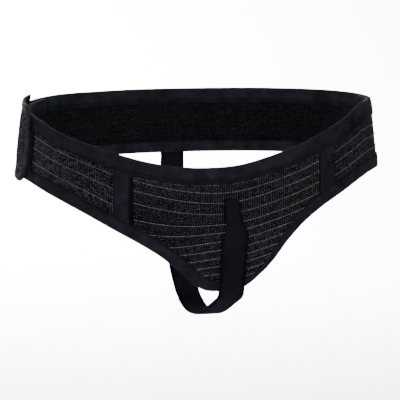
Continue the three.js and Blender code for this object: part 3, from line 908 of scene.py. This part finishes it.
# soft colour drift in patches, and flecks of lint
def clothWearGroup():
    tree, given, result = newGroup(
        "clothWear",
        [("Color", "Color", (0.02, 0.02, 0.025, 1)), ("Coordinates", "Vector", None), ("Drift", "Float", 0.25),
         ("Patch", "Float", 22.0), ("Lint", "Float", 0.15)],
        [("Color", "Color"), ("Roughness", "Float")],
    )
    broad = addNode(tree, "ShaderNodeTexNoise", wearLook["patches"])
    link(tree, given["Coordinates"], broad.inputs["Vector"])
    link(tree, given["Patch"], broad.inputs["Scale"])
    swing = mathNode(tree, "MULTIPLY", given["Drift"], 2.0)
    tone = mathNode(tree, "MULTIPLY_ADD", mathNode(tree, "SUBTRACT", broad.outputs[0], 0.5), swing, 1.0)
    scaled = addNode(tree, "ShaderNodeVectorMath", operation="SCALE")
    link(tree, given["Color"], scaled.inputs[0])
    link(tree, tone, scaled.inputs["Scale"])
    specks = addNode(tree, "ShaderNodeTexVoronoi", wearLook["flecks"])
    link(tree, given["Coordinates"], specks.inputs["Vector"])
    chance = splitNode(tree, "ShaderNodeSeparateColor", specks.outputs["Color"])[1]
    dot = rangeNode(tree, specks.outputs["Distance"], *wearLook["fleckEdge"], 1.0, 0.0)
    fleck = mathNode(tree, "MULTIPLY", rangeNode(tree, chance, *wearLook["fleckChance"]), dot)
    lint = mathNode(tree, "MULTIPLY", fleck, given["Lint"])
    link(tree, mixColor(tree, lint, scaled.outputs[0], wearLook["lint"]), result["Color"])
    rough = mathNode(tree, "MULTIPLY_ADD", broad.outputs[0], wearLook["roughnessDrift"], wearLook["roughness"])
    link(tree, rough, result["Roughness"])
    return tree


# the last two set the fade and the tone of a line of painted shade along a cloth's edge
weaveLook = {"crossing": 0.35, "ribs": 0.3, "shade": (0.1, 0.9), "bright": 1.5, "grooveFade": 0.0012, "groove": 0.5}


# fine ribs of a woven elastic, along and across
def weaveGroup():
    tree, given, result = newGroup(
        "elasticWeave",
        [("Coordinates", "Vector", None), ("Rib", "Float", 0.0009), ("Pick", "Float", 0.0006)],
        [("Height", "Float"), ("Shade", "Float")],
    )
    xyz = splitNode(tree, "ShaderNodeSeparateXYZ", given["Coordinates"])

    def ripple(distance, pitch):
        turns = mathNode(tree, "DIVIDE", distance, pitch)
        return mathNode(tree, "SINE", mathNode(tree, "MULTIPLY", turns, 2 * math.pi))

    ribs, picks = ripple(xyz[1], given["Rib"]), ripple(xyz[0], given["Pick"])
    crossing = mathNode(tree, "MULTIPLY", ribs, picks)
    lines = mathNode(tree, "MULTIPLY", ribs, weaveLook["ribs"])
    both = mathNode(tree, "MULTIPLY_ADD", crossing, weaveLook["crossing"], lines)
    height = mathNode(tree, "ADD", both, 0.5)
    link(tree, height, result["Height"])
    link(tree, rangeNode(tree, height, *weaveLook["shade"]), result["Shade"])
    return tree


pileLook = {"tufts": {"Detail": 5.0, "Roughness": 0.75}, "shade": (0.3, 0.7)}


# brushed pile: soft tufts and fine hairs
def pileGroup():
    tree, given, result = newGroup(
        "brushedPile",
        [("Coordinates", "Vector", None), ("Tuft", "Float", 900.0)],
        [("Height", "Float"), ("Shade", "Float")],
    )
    tufts = addNode(tree, "ShaderNodeTexNoise", pileLook["tufts"])
    link(tree, given["Coordinates"], tufts.inputs["Vector"])
    link(tree, given["Tuft"], tufts.inputs["Scale"])
    link(tree, tufts.outputs[0], result["Height"])
    link(tree, rangeNode(tree, tufts.outputs[0], *pileLook["shade"]), result["Shade"])
    return tree


groups = {"knit": knitGrainGroup(), "wear": clothWearGroup(), "weave": weaveGroup(), "pile": pileGroup()}


def useGroup(tree, group, coordinates, values=None):
    node = addNode(tree, "ShaderNodeGroup", values, node_tree=groups[group])
    link(tree, coordinates, node.inputs["Coordinates"])
    return node


clothShader = {"IOR": 1.05, "Sheen Tint": (0.6, 0.63, 0.75, 1)}


def newMaterial(name, sheen=0.03, sheenRoughness=0.35, specular=0.3):
    material = bpy.data.materials.new(name)
    material.use_nodes = True
    tree = material.node_tree
    shader = tree.nodes["Principled BSDF"]
    look = {"Sheen Weight": sheen, "Sheen Roughness": sheenRoughness, "Specular IOR Level": specular, **clothShader}
    for key, value in look.items():
        shader.inputs[key].default_value = value
    onObject = addNode(tree, "ShaderNodeTexCoord").outputs["Object"]
    onCloth = addNode(tree, "ShaderNodeUVMap", uv_map="cloth").outputs[0]
    return material, tree, shader, onObject, onCloth


reliefs = {
    "knit": {"Strength": 0.8, "Distance": 0.0005},
    "weave": {"Strength": 0.5, "Distance": 0.00012},
    "pile": {"Strength": 0.7, "Distance": 0.0004},
}


def finishMaterial(tree, shader, color, wear, height=None, relief=None):
    link(tree, color, wear.inputs["Color"])
    link(tree, wear.outputs["Color"], shader.inputs["Base Color"])
    link(tree, wear.outputs["Roughness"], shader.inputs["Roughness"])
    if height is not None:
        bump = addNode(tree, "ShaderNodeBump", reliefs[relief])
        link(tree, height, bump.inputs["Height"])
        link(tree, bump.outputs[0], shader.inputs["Normal"])


def scaledColor(color, factor):
    return tuple(factor * c for c in color)


colors = {
    "knitBody": (0.0032, 0.0032, 0.0042),
    "knitYarn": (0.01, 0.0102, 0.0125),
    "knitPit": (0.0005, 0.0005, 0.0007),
    "binding": (0.008, 0.0081, 0.0108),
    "tape": (0.0084, 0.0077, 0.0113),
    "tab": (0.0042, 0.004, 0.0055),
    "tabRim": (0.012, 0.012, 0.015),
    "hook": (0.004, 0.004, 0.0055),
    "strap": (0.0041, 0.0042, 0.0058),
    "strapTip": (0.0066, 0.0058, 0.0082),
}


def knitMaterial():
    material, tree, shader, onObject, onCloth = newMaterial("openKnit")
    grain = useGroup(tree, "knit", onCloth)
    wear = useGroup(tree, "wear", onObject, {"Drift": 0.2, "Lint": 0.2})
    color = mixColor(tree, grain.outputs["Yarn"], colors["knitBody"], colors["knitYarn"])
    color = mixColor(tree, grain.outputs["Pit"], color, colors["knitPit"])
    finishMaterial(tree, shader, color, wear, grain.outputs["Height"], "knit")
    return material


# the last argument is (axis of the cloth, distance, depth): a darker line of painted shade that fades in from there
def wovenMaterial(name, color, sheen, rib, pick, groove=None):
    material, tree, shader, onObject, onCloth = newMaterial(name, sheen=sheen)
    weave = useGroup(tree, "weave", onCloth, {"Rib": rib, "Pick": pick})
    wear = useGroup(tree, "wear", onObject, {"Drift": 1.1, "Patch": 75.0, "Lint": 0.1})
    shown = mixColor(tree, weave.outputs["Shade"], color, scaledColor(color, weaveLook["bright"]))
    if groove is not None:
        axis, start, depth = groove
        across = splitNode(tree, "ShaderNodeSeparateXYZ", onCloth)[axis]
        dark = rangeNode(tree, across, start, start + weaveLook["grooveFade"], 0.0, depth)
        shown = mixColor(tree, dark, shown, scaledColor(color, weaveLook["groove"]))
    finishMaterial(tree, shader, shown, wear, weave.outputs["Height"], "weave")
    return material


# edge, edgeDepth and edgeTone are painted shade, darkening the strap towards its edges
strapShade = {"foldFade": 0.0004, "edge": (0.62, 0.92), "edgeDepth": 0.6, "edgeTone": 0.25}


# tip is the colour up to the strap's fold; the strap's edges are also darkened with painted shade
def pileMaterial(name, color, bright, tuft, sheen, specular=0.3, drift=0.25, tip=None):
    material, tree, shader, onObject, onCloth = newMaterial(name, sheen, 0.5, specular)
    pile = useGroup(tree, "pile", onObject, {"Tuft": tuft})
    wear = useGroup(tree, "wear", onObject, {"Drift": drift, "Lint": 0.12})
    shown = mixColor(tree, pile.outputs["Shade"], color, scaledColor(color, bright))
    if tip is not None:
        run = splitNode(tree, "ShaderNodeSeparateXYZ", onCloth)[1]
        fade = strapShade["foldFade"]
        pastFold = rangeNode(tree, run, strap["foldAt"] - fade, strap["foldAt"] + fade)
        shown = mixColor(tree, pastFold, tip, shown)
        # painted shade: the strap darkens towards both edges, where its sides turn from the light
        edge = addNode(tree, "ShaderNodeAttribute", attribute_name="rim", attribute_type="GEOMETRY").outputs["Fac"]
        paintedEdgeShade = rangeNode(tree, edge, *strapShade["edge"], 0.0, strapShade["edgeDepth"])
        shown = mixColor(tree, paintedEdgeShade, shown, scaledColor(color, strapShade["edgeTone"]))
    finishMaterial(tree, shader, shown, wear, pile.outputs["Height"], "pile")
    return material


bindingWeave, tapeWeave = {"rib": 0.0011, "pick": 0.0007}, {"rib": 0.0009, "pick": 0.0005}
materials = {
    "knit": knitMaterial(),
    # the bindings get a line of painted shade along their edge against the knit
    "binding": wovenMaterial("bindingElastic", colors["binding"], 0.012, **bindingWeave, groove=(1, 0.0085, 0.45)),
    "tape": wovenMaterial("seamTape", colors["tape"], 0.015, **tapeWeave),
    # painted shade along the right seam tape's edge towards the panel
    "selvedgeTape": wovenMaterial("selvedgeTape", colors["tape"], 0.015, **tapeWeave, groove=(0, 0.0133, 1.0)),
    "tab": pileMaterial("brushedLoop", colors["tab"], bright=2.2, tuft=700.0, sheen=0.0),
    "rim": wovenMaterial("rimElastic", colors["tabRim"], 0.01, **bindingWeave),
    "hook": pileMaterial("hookTape", colors["hook"], bright=1.6, tuft=1100.0, sheen=0.03),
    "strap": pileMaterial(
        "strapPlush", colors["strap"], bright=2.2, tuft=1300.0, sheen=0.0, specular=0.02, drift=0.6,
        tip=colors["strapTip"]),
}
# piece, material, slot and the CAD node that it stands for
looks = [
    (panelKnit, "knit", "knit", "front_panel"),
    (rightKnit, "knit", "knit", "right_side_band"),
    (backKnit, "knit", "knit", "back_band"),
    (topBand, "binding", "binding", "top_binding"),
    (bottomBand, "binding", "binding", "bottom_binding"),
    (rightTape, "selvedgeTape", "tape", "right_seam_tape"),
    (leftTape, "tape", "tape", "left_seam_tape"),
    (tabLoop, "tab", "tab_loop", "closure_tab"),
    (tabRim, "rim", "binding", "closure_rim"),
    (hookPatch, "hook", "hook", "closure_hook"),
    (strapPlush, "strap", "plush", "crotch_strap"),
]
for obj, look, slot, node in looks:
    obj.data.materials.append(materials[look])
    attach(obj, "root")
    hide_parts(node)
print("materials:", sorted(m.name for m in materials.values()))


# beads of yarn along lines: knit loops, stripe yarns and stitches. Lean turns every bead the same way, Slant
# every other one the other way, and Jitter each one at random
def yarnTree():
    tree, given, result = newGroup(
        "laidYarn",
        [("Geometry", "Geometry", None), ("Spacing", "Float", 0.0025), ("Length", "Float", 0.0018),
         ("Width", "Float", 0.0006), ("Slant", "Float", 0.0), ("Lean", "Float", 0.0), ("Jitter", "Float", 0.1),
         ("Size Change", "Float", 0.2), ("Missing", "Float", 0.0), ("Rings", "Int", 3), ("Seed", "Int", 3),
         ("Material", "Material", None)],
        [("Geometry", "Geometry")],
        "GeometryNodeTree",
    )
    curve = addNode(tree, "GeometryNodeMeshToCurve")
    link(tree, given["Geometry"], curve.inputs["Mesh"])
    spaced = addNode(tree, "GeometryNodeResampleCurve", mode="LENGTH")
    link(tree, curve.outputs[0], spaced.inputs["Curve"])
    link(tree, given["Spacing"], spaced.inputs["Length"])

    def randomValue(low, high, offset):
        node = addNode(tree, "FunctionNodeRandomValue", {2: low, 3: high}, data_type="FLOAT")
        link(tree, mathNode(tree, "ADD", given["Seed"], offset), node.inputs["Seed"])
        return node.outputs[1]

    outward = addNode(tree, "GeometryNodeInputNamedAttribute", {"Name": "outward"}, data_type="FLOAT_VECTOR")
    aim = addNode(tree, "FunctionNodeAxesToRotation", primary_axis="Z", secondary_axis="X")
    link(tree, outward.outputs[0], aim.inputs[0])
    link(tree, addNode(tree, "GeometryNodeInputTangent").outputs[0], aim.inputs[1])
    parity = mathNode(tree, "MODULO", addNode(tree, "GeometryNodeInputIndex").outputs[0], 2.0)
    sign = mathNode(tree, "MULTIPLY_ADD", parity, 2.0, -1.0)
    side = mathNode(tree, "MULTIPLY_ADD", sign, given["Slant"], given["Lean"])
    turn = addNode(tree, "ShaderNodeCombineXYZ")
    link(tree, mathNode(tree, "MULTIPLY", randomValue(-0.5, 0.5, 2), given["Jitter"]), turn.inputs[1])
    link(tree, mathNode(tree, "MULTIPLY_ADD", randomValue(-1.0, 1.0, 1), given["Jitter"], side), turn.inputs[2])
    spin = addNode(tree, "FunctionNodeRotateRotation", rotation_space="LOCAL")
    link(tree, aim.outputs[0], spin.inputs[0])
    link(tree, turn.outputs[0], spin.inputs[1])

    bead = addNode(tree, "GeometryNodeMeshUVSphere", {"Segments": 4, "Radius": 0.5})
    link(tree, given["Rings"], bead.inputs["Rings"])
    shrink = mathNode(tree, "MULTIPLY", randomValue(0.0, 1.0, 3), given["Size Change"])
    change = mathNode(tree, "SUBTRACT", 1.0, shrink)
    sizes = addNode(tree, "ShaderNodeCombineXYZ")
    link(tree, mathNode(tree, "MULTIPLY", given["Length"], change), sizes.inputs[0])
    link(tree, given["Width"], sizes.inputs[1])
    link(tree, mathNode(tree, "MULTIPLY", given["Width"], change), sizes.inputs[2])
    instances = addNode(tree, "GeometryNodeInstanceOnPoints")
    kept = mathNode(tree, "GREATER_THAN", randomValue(0.0, 1.0, 4), given["Missing"])
    link(tree, spaced.outputs[0], instances.inputs["Points"])
    link(tree, kept, instances.inputs["Selection"])
    link(tree, bead.outputs["Mesh"], instances.inputs["Instance"])
    link(tree, spin.outputs[0], instances.inputs["Rotation"])
    link(tree, sizes.outputs[0], instances.inputs["Scale"])

    tone = addNode(tree, "GeometryNodeStoreNamedAttribute", {"Name": "tone"}, data_type="FLOAT", domain="INSTANCE")
    link(tree, instances.outputs[0], tone.inputs["Geometry"])
    link(tree, randomValue(0.0, 1.0, 5), tone.inputs["Value"])
    last = tone
    for kind in ("GeometryNodeRealizeInstances", "GeometryNodeSetShadeSmooth", "GeometryNodeSetMaterial"):
        node = addNode(tree, kind)
        link(tree, last.outputs[0], node.inputs[0])
        last = node
    link(tree, given["Material"], last.inputs["Material"])
    link(tree, last.outputs[0], result[0])
    return tree


yarnGroup = yarnTree()
yarnPieces = []


# lines is a list of (points, outward directions); look holds the tree's inputs in camelCase
def layYarn(name, lines, slot, material, **look):
    points, outwards, edges, start = [], [], [], 0
    for line, outward in lines:
        points.append(line)
        outwards.append(outward)
        edges += [(start + k, start + k + 1) for k in range(len(line) - 1)]
        start += len(line)
    mesh = bpy.data.meshes.new(name + "Lines")
    mesh.from_pydata([tuple(p) for p in np.concatenate(points).tolist()], edges, [])
    directions = np.concatenate(outwards).astype(np.float32).ravel()
    mesh.attributes.new("outward", "FLOAT_VECTOR", "POINT").data.foreach_set("vector", directions)
    holder = bpy.data.objects.new(name + "Lines", mesh)
    bpy.context.scene.collection.objects.link(holder)
    modifier = holder.modifiers.new("yarn", "NODES")
    modifier.node_group = yarnGroup
    look["material"] = material
    for item in yarnGroup.interface.items_tree:
        key = item.name[0].lower() + item.name[1:].replace(" ", "")
        if item.in_out == "INPUT" and key in look:
            modifier[item.identifier] = look[key]
    evaluated = holder.evaluated_get(bpy.context.evaluated_depsgraph_get())
    made = bpy.data.meshes.new_from_object(evaluated)
    bpy.data.objects.remove(holder)
    obj = bpy.data.objects.new(name, made)
    bpy.context.scene.collection.objects.link(obj)
    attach(obj, "root")
    yarnPieces.append(obj)


# dark and light colour of each yarn, with one tone between them for each bead, and a sheen if it isn't plain
yarnLooks = {
    "loopYarn": ((0.009, 0.0092, 0.0115), (0.096, 0.098, 0.113)),
    "bandLoopYarn": ((0.009, 0.0092, 0.0115), (0.08, 0.082, 0.095)),
    "insideYarn": ((0.003, 0.003, 0.0038), (0.03, 0.03, 0.036)),
    "stripeYarn": ((0.075, 0.075, 0.081), (0.142, 0.143, 0.151)),
    "rightStripeYarn": ((0.07, 0.07, 0.076), (0.142, 0.143, 0.151)),
    "backStripeYarn": ((0.046, 0.046, 0.05), (0.1, 0.101, 0.108)),
    "slitThread": (colors["knitPit"], colors["knitPit"], 0.0),
    "darkThread": ((0.0055, 0.0055, 0.0065), (0.011, 0.011, 0.013)),
    "tabYarn": ((0.004, 0.004, 0.0055), (0.055, 0.055, 0.07)),
}


def threadMaterial(name, dark, light, sheen=0.03):
    material, tree, shader, onObject, _ = newMaterial(name, sheen)
    wear = useGroup(tree, "wear", onObject, {"Drift": 0.3, "Lint": 0.0})
    tone = addNode(tree, "ShaderNodeAttribute", attribute_name="tone", attribute_type="GEOMETRY").outputs["Fac"]
    finishMaterial(tree, shader, mixColor(tree, tone, dark, light), wear)
    return material


threads = {name: threadMaterial(name, *look) for name, look in yarnLooks.items()}

# loops of the knit, in courses between the bindings and the seams
loops = {
    "outside": {
        "spacing": knit["wale"], "length": knit["loopLength"], "width": knit["loopWidth"], "slant": knit["slant"],
        "jitter": knit["disorder"], "sizeChange": 0.4, "missing": 0.02,
    },
    "right": {"spacing": 0.0024, "length": 0.0027, "slant": 0.12, "lean": 0.44, "jitter": 0.3},
    "inside": {"length": 0.0024, "rings": 2},
    "raised": 0.0001,
    "seamSlit": 0.75,  # bare cloth beside the tapes on the panel, in degrees, as the next three
    "bandSlit": {"right": 0.3, "left": 0.4},
    "endMargin": {"hook": 0.2, "inner": 0.4, "band": 0.3},
    "insideSlit": {"panel": 0.4, "right": 0.6, "left": 0.6},
    "panelStagger": 0.38,
    "bandShift": 0.9,
    "panelShift": 0.8,  # share of bandShift
    "rightCourse": 1.3 * knit["course"],
    "clearOfStripe": 0.4,  # share of a course
    "underBinding": 0.001,
    "underTop": 0.75,  # share of the top binding
    "insideMargin": 0.0075,
    "fewest": 4,  # points of a row worth laying
}
panelStart, panelEnd = rightTapeEnds[1] + loops["seamSlit"], leftTapeEnds[0] - loops["seamSlit"]
rowShifts = np.random.default_rng(knit["seed"]).uniform(0, loops["bandShift"], 60)
sides = {
    "right": {
        "start": hookEnd + loops["endMargin"]["hook"], "end": rightTapeEnds[0] - loops["bandSlit"]["right"],
        "stripes": band["rightStripes"], "course": loops["rightCourse"], "columns": rightRun,
        "seed": band["rightSeed"],
    },
    "back": {
        "start": leftTapeEnds[1] + loops["bandSlit"]["left"], "end": cut["bandEnd"] - loops["endMargin"]["band"],
        "stripes": band["backStripes"], "course": knit["course"], "columns": backRun, "seed": band["backSeed"],
    },
}


# a row of the panel, outside or inside, down to the lower binding or to clear above the panel's edge
def panelLine(start, end, depth, raised, inside=False, clear=None):
    angles = np.linspace(start, end, samples["panel"])
    height = panelRow(angles, depth)
    gap = bottomWidth(angles) - loops["underBinding"] if clear is None else clear
    shown = height > bottomHeight(angles) + gap
    angles, height = angles[shown], height[shown]
    if inside:
        points, normal = surfaceLine(angles, height, -raised)
        return points, -normal
    return surfaceLine(angles, height, cut["knitThickness"] + raised + panelRelief(angles, height))


def bandLine(side, start, share, raised):
    angles = np.linspace(start, side["end"], samples["band"])
    relief = bandRelief(angles, share, side["columns"], side["seed"])
    return surfaceLine(angles, bandRow(angles, share), cut["knitThickness"] + liftAt(angles) + relief + raised)


def besideStripe(share, stripes, height, course):
    return min(abs(share - s) for s in stripes) * height < loops["clearOfStripe"] * course


def longEnough(lines):
    return [(points, outward) for points, outward in lines if len(points) >= loops["fewest"]]


def panelCourses():
    depths = np.arange(cut["topBinding"] - loops["underBinding"], panelHeight, knit["course"])
    return longEnough(
        panelLine(panelStart + loops["panelStagger"] * (k % 2), panelEnd, depth, loops["raised"])
        for k, depth in enumerate(depths)
        if not besideStripe(depth / panelHeight, panel["stripes"], panelHeight, knit["course"]))


def bandCourses(side):
    low = loops["underTop"] * cut["topBinding"]
    high = bandCloth - cut["bottomBinding"] + loops["underBinding"]
    return [
        bandLine(side, side["start"] + rowShifts[k], share, loops["raised"])
        for k, share in enumerate(np.arange(low, high, side["course"]) / bandCloth)
        if not besideStripe(share, side["stripes"], bandCloth, side["course"])
    ]


def bandInside(start, end):
    lines = []
    margin = loops["insideMargin"]
    for k, depth in enumerate(np.arange(margin, bandCloth - margin, knit["insideCourse"])):
        angles = np.linspace(start + rowShifts[k], end, samples["band"])
        points, normal = surfaceLine(angles, bandRow(angles, depth / bandCloth), liftAt(angles) - loops["raised"])
        lines.append((points, -normal))
    return lines


def panelInside():
    slit = loops["insideSlit"]["panel"]
    start, end = cut["rightSeam"] + slit, cut["leftSeam"] - slit
    depths = np.arange(cut["topBinding"], panelHeight, knit["insideCourse"])
    return longEnough(
        panelLine(start + loops["panelShift"] * rowShifts[k], end, depth, loops["raised"], inside=True)
        for k, depth in enumerate(depths))


slits, margins = loops["insideSlit"], loops["endMargin"]
insideLines = bandInside(cut["leftSeam"] + slits["left"], cut["bandEnd"] - margins["band"])
insideLines += bandInside(cut["innerEnd"] + margins["inner"], cut["rightSeam"] - slits["right"]) + panelInside()
outside = loops["outside"]
layYarn("panelLoops", panelCourses(), "knit", threads["loopYarn"], seed=5, **outside)
rightLook = {**outside, **loops["right"]}
layYarn("rightLoops", bandCourses(sides["right"]), "knit", threads["loopYarn"], seed=6, **rightLook)
layYarn("backLoops", bandCourses(sides["back"]), "knit", threads["bandLoopYarn"], seed=7, rings=2, **outside)
layYarn("insideLoops", insideLines, "knit", threads["insideYarn"], seed=8, **{**outside, **loops["inside"]})

stripe = {
    "raised": 0.0006,
    "clear": 0.002,
    "look": {
        "spacing": 0.0017, "length": 0.0024, "width": 0.00098, "slant": 0.12, "jitter": 0.12, "sizeChange": 0.4,
    },
}
panelStripeLines = [
    panelLine(panelStart, panelEnd, share * panelHeight, stripe["raised"], clear=stripe["clear"])
    for share in panel["stripes"]
]
layYarn("panelStripes", panelStripeLines, "knit", threads["stripeYarn"], seed=15, **stripe["look"])
for key, seed in (("right", 16), ("back", 17)):
    side = sides[key]
    lines = [bandLine(side, side["start"], share, stripe["raised"]) for share in side["stripes"]]
    layYarn(key + "Stripes", lines, "knit", threads[key + "StripeYarn"], seed=seed, **stripe["look"])

stitch = {
    "topInset": 0.0016,
    "bottomInset": 0.0014,
    "tapeInset": 0.0014,
    "rimInset": 0.0013,
    "tapeMargin": 0.0006,
    "endMargin": 0.4,
    "rimMargin": 0.5,
    "foldRow": {"from": -0.0078, "to": 0.0105, "points": 24, "raised": 0.0005},
    "look": {"spacing": 0.0026, "length": 0.0019, "width": 0.00045, "jitter": 0.08},
}


# a line beside a bound edge, at an offset from the form
def edgeLine(edge, inset, inward, offset, start, end):
    angles = np.linspace(start, end, samples["edge"])
    angle, height = besideCurve(lambda t: (t, edge(t)), angles, inset(angles), np.array(inward))
    return surfaceLine(angle, height, offset + liftAt(angles))


def tapeStitchLines(ends):
    lines = []
    for aside in (stitch["tapeInset"], tape["width"] - stitch["tapeInset"]):
        angles = np.full(samples["tape"], ends[0] + (ends[1] - ends[0]) * aside / tape["width"])
        top = insetHeight(topHeight, angles, topWidth(angles) + stitch["tapeMargin"], -1)
        bottom = insetHeight(bottomHeight, angles, cut["bottomBinding"] + stitch["tapeMargin"], 1)
        height = top + (bottom - top) * np.linspace(0, 1, samples["tape"])
        lines.append(surfaceLine(angles, height, outerFace + tape["thickness"]))
    return lines


def rimStitchLine():
    stretch = tabShoulder - tabStart
    t = bothSides(np.concatenate([
        np.linspace(90 + stretch - stitch["rimMargin"], 90.4, samples["rim"]),
        np.linspace(89, 0.5, samples["rim"]),
    ]))
    inset = np.full(len(t), rim["width"] - stitch["rimInset"])
    angle, height = besideCurve(tabPath, t, inset, np.array(-1.0))
    return surfaceLine(angle, height, cut["knitThickness"] + fold + liftAt(angle))


# a short row across the strap's fold
def strapRow():
    line, run = strapLine()
    row = stitch["foldRow"]
    x = np.linspace(row["from"], row["to"], row["points"])
    offset = np.stack([x, 0 * x - strap["thickness"] / 2 - row["raised"], 0 * x], -1)
    return pointsAt(line, run, strap["foldAt"]) + offset, np.tile([0.0, -1.0, 0.0], (len(x), 1))


seamEnds = cut["innerEnd"] + stitch["endMargin"], cut["bandEnd"] - stitch["endMargin"]
seamLines = [
    edgeLine(topHeight, lambda a: topWidth(a) - stitch["topInset"], 1.0, bindingTop, *seamEnds),
    edgeLine(bottomHeight, lambda a: bottomWidth(a) - stitch["bottomInset"], -1.0, bindingTop, *seamEnds),
]
tapeLines = tapeStitchLines(rightTapeEnds) + tapeStitchLines(leftTapeEnds)
for name, lines, slot, seed in (
    ("edgeStitches", seamLines, "binding", 8),
    ("tapeStitches", tapeLines, "tape", 9),
    ("rimStitches", [rimStitchLine()], "binding", 10),
    ("strapStitches", [strapRow()], "plush", 12),
):
    layYarn(name, lines, slot, threads["darkThread"], seed=seed, **stitch["look"])

# the light row of loops under the top binding
edgeRow = {
    "below": 0.0007,
    "raised": 0.0005,
    "reach": 41.0,
    "look": {"spacing": 0.0021, "length": 0.0026, "width": 0.0011, "jitter": 0.2, "sizeChange": 0.4},
}
edgeRowLine = edgeLine(
    topHeight, lambda a: topWidth(a) + edgeRow["below"], 1.0, cut["knitThickness"] + edgeRow["raised"],
    -edgeRow["reach"], edgeRow["reach"])
layYarn("edgeYarn", [edgeRowLine], "knit", threads["loopYarn"], seed=11, **edgeRow["look"])

# two pulled threads and the slit between them, on the left tape: aside are shares of its width
pulls = {
    "aside": {"pulled": (0.7, 0.86), "slit": (0.78,)},
    "slant": 0.1,
    "below": 0.007,
    "drop": 0.0095,
    "threadLook": {"spacing": 0.0018, "length": 0.0022, "width": 0.0007},
    "slitLook": {"spacing": 0.0018, "length": 0.0024, "width": 0.0009},
}


def pulledLines(kind):
    low, high = leftTapeEnds
    share = np.linspace(0, 1, samples["pull"])
    lines = []
    for aside in pulls["aside"][kind]:
        angles = low + (high - low) * (aside + pulls["slant"] * share)
        top = insetHeight(topHeight, angles, topWidth(angles), -1)
        height = top - pulls["below"] - pulls["drop"] * share
        lines.append(surfaceLine(angles, height, outerFace + tape["thickness"] + loops["raised"]))
    return lines


layYarn("tapePulls", pulledLines("pulled"), "tape", threads["insideYarn"], seed=13, **pulls["threadLook"])
layYarn("tapeSlit", pulledLines("slit"), "tape", threads["slitThread"], seed=14, **pulls["slitLook"])

# loops of the brushed tab
tabPile = {
    "reach": 0.92,
    "pitch": 0.038,
    "tipReach": 0.96,
    "look": {
        "spacing": 0.0021, "length": 0.0019, "width": 0.0011, "slant": 0.6, "jitter": 1.2, "sizeChange": 0.5,
        "missing": 0.2,
    },
}


def tabRows():
    lines = []
    for share in np.arange(-tabPile["reach"], tabPile["reach"] + tabPile["pitch"] / 4, tabPile["pitch"]):
        reach = (1 - abs(share) ** tab["roundness"]) ** (1 / tab["roundness"])
        end = tabShoulder + tabPile["tipReach"] * reach * (tabTip - tabShoulder)
        angles = np.linspace(tabStart, end, samples["tab"])
        top, bottom = tabEdges(angles)
        height = (top + bottom) / 2 + share * (top - bottom) / 2
        bow = tab["bow"] * math.cos(math.pi * share / 2)
        lines.append(surfaceLine(angles, height, cut["knitThickness"] + liftAt(angles) + bow + loops["raised"]))
    return lines


layYarn("tabLoops", tabRows(), "tab_loop", threads["tabYarn"], seed=18, **tabPile["look"])
print("yarns:", [(o.name, sum(len(f.vertices) - 2 for f in o.data.polygons)) for o in yarnPieces])

# a paper sweep behind and under the belt
paper = {
    "color": (0.86, 0.86, 0.87),
    "roughness": 0.9,
    "floor": -0.42,
    "depth": 2.4,
    "bend": 0.8,
    "front": -3.0,
    "height": 4.0,
    "halfWidth": 5.0,
}


def buildPaper():
    depth, bend = paper["depth"], paper["bend"]
    profile = [(paper["front"], 0.0), (depth - bend, 0.0)]
    profile += [
        (depth - bend + bend * math.sin(a), bend - bend * math.cos(a)) for a in np.radians(np.arange(9, 91, 9))
    ]
    profile.append((depth, paper["height"]))
    half = paper["halfWidth"]
    points = np.array([(x, y, paper["floor"] + z) for y, z in profile for x in (-half, half)])
    faces = [[2 * k, 2 * k + 1, 2 * k + 3, 2 * k + 2] for k in range(len(profile) - 1)]
    obj = makeObject("backdrop", points, faces)
    material = bpy.data.materials.new("backdropPaper")
    material.use_nodes = True
    shader = material.node_tree.nodes["Principled BSDF"]
    shader.inputs["Base Color"].default_value = (*paper["color"], 1)
    shader.inputs["Roughness"].default_value = paper["roughness"]
    obj.data.materials.append(material)


buildPaper()

belt = (0, 0, -0.05)
lights = {
    "keyLight": {"at": (-1.1, -1.7, 1.3), "aim": belt, "size": 1.2, "power": 40, "spread": 180},
    "fillLight": {"at": (1.5, -1.3, 0.6), "aim": belt, "size": 1.4, "power": 16, "spread": 180},
    "topLight": {"at": (0.0, 0.6, 1.9), "aim": (0, 0, 0), "size": 1.2, "power": 14, "spread": 180},
    "backdropLight": {"at": (0.0, 1.5, 1.9), "aim": (0, 2.4, -0.3), "size": 1.6, "power": 420, "spread": 110},
}
for name, look in lights.items():
    data = bpy.data.lights.new(name, "AREA")
    data.shape = "DISK"
    data.size = look["size"]
    data.energy = look["power"]
    data.spread = math.radians(look["spread"])
    light = bpy.data.objects.new(name, data)
    light.location = look["at"]
    light.rotation_euler = (Vector(look["aim"]) - Vector(look["at"])).to_track_quat("-Z", "Y").to_euler()
    bpy.context.scene.collection.objects.link(light)

sky = {"color": (0.95, 0.97, 1.0, 1), "strength": 0.4}
world = bpy.data.worlds.new("studio")
world.use_nodes = True
background = world.node_tree.nodes["Background"]
background.inputs["Color"].default_value = sky["color"]
background.inputs["Strength"].default_value = sky["strength"]
bpy.context.scene.world = world

shot = {
    "azimuth": -13.0,
    "elevation": 8.0,
    "distance": 1.8,
    "lens": 167.67,
    "sensor": 36.0,
    "target": (0.0, 0.0, -0.057),
}
azimuth, elevation = math.radians(shot["azimuth"]), math.radians(shot["elevation"])
away = Vector((
    math.sin(azimuth) * math.cos(elevation), -math.cos(azimuth) * math.cos(elevation), math.sin(elevation),
))
cameraData = bpy.data.cameras.new("camera")
cameraData.lens = shot["lens"]
cameraData.sensor_width = shot["sensor"]
camera = bpy.data.objects.new("camera", cameraData)
camera.location = Vector(shot["target"]) + away * shot["distance"]
camera.rotation_euler = (-away).to_track_quat("-Z", "Y").to_euler()
bpy.context.scene.collection.objects.link(camera)
bpy.context.scene.camera = camera
print("stage, lights and camera set")
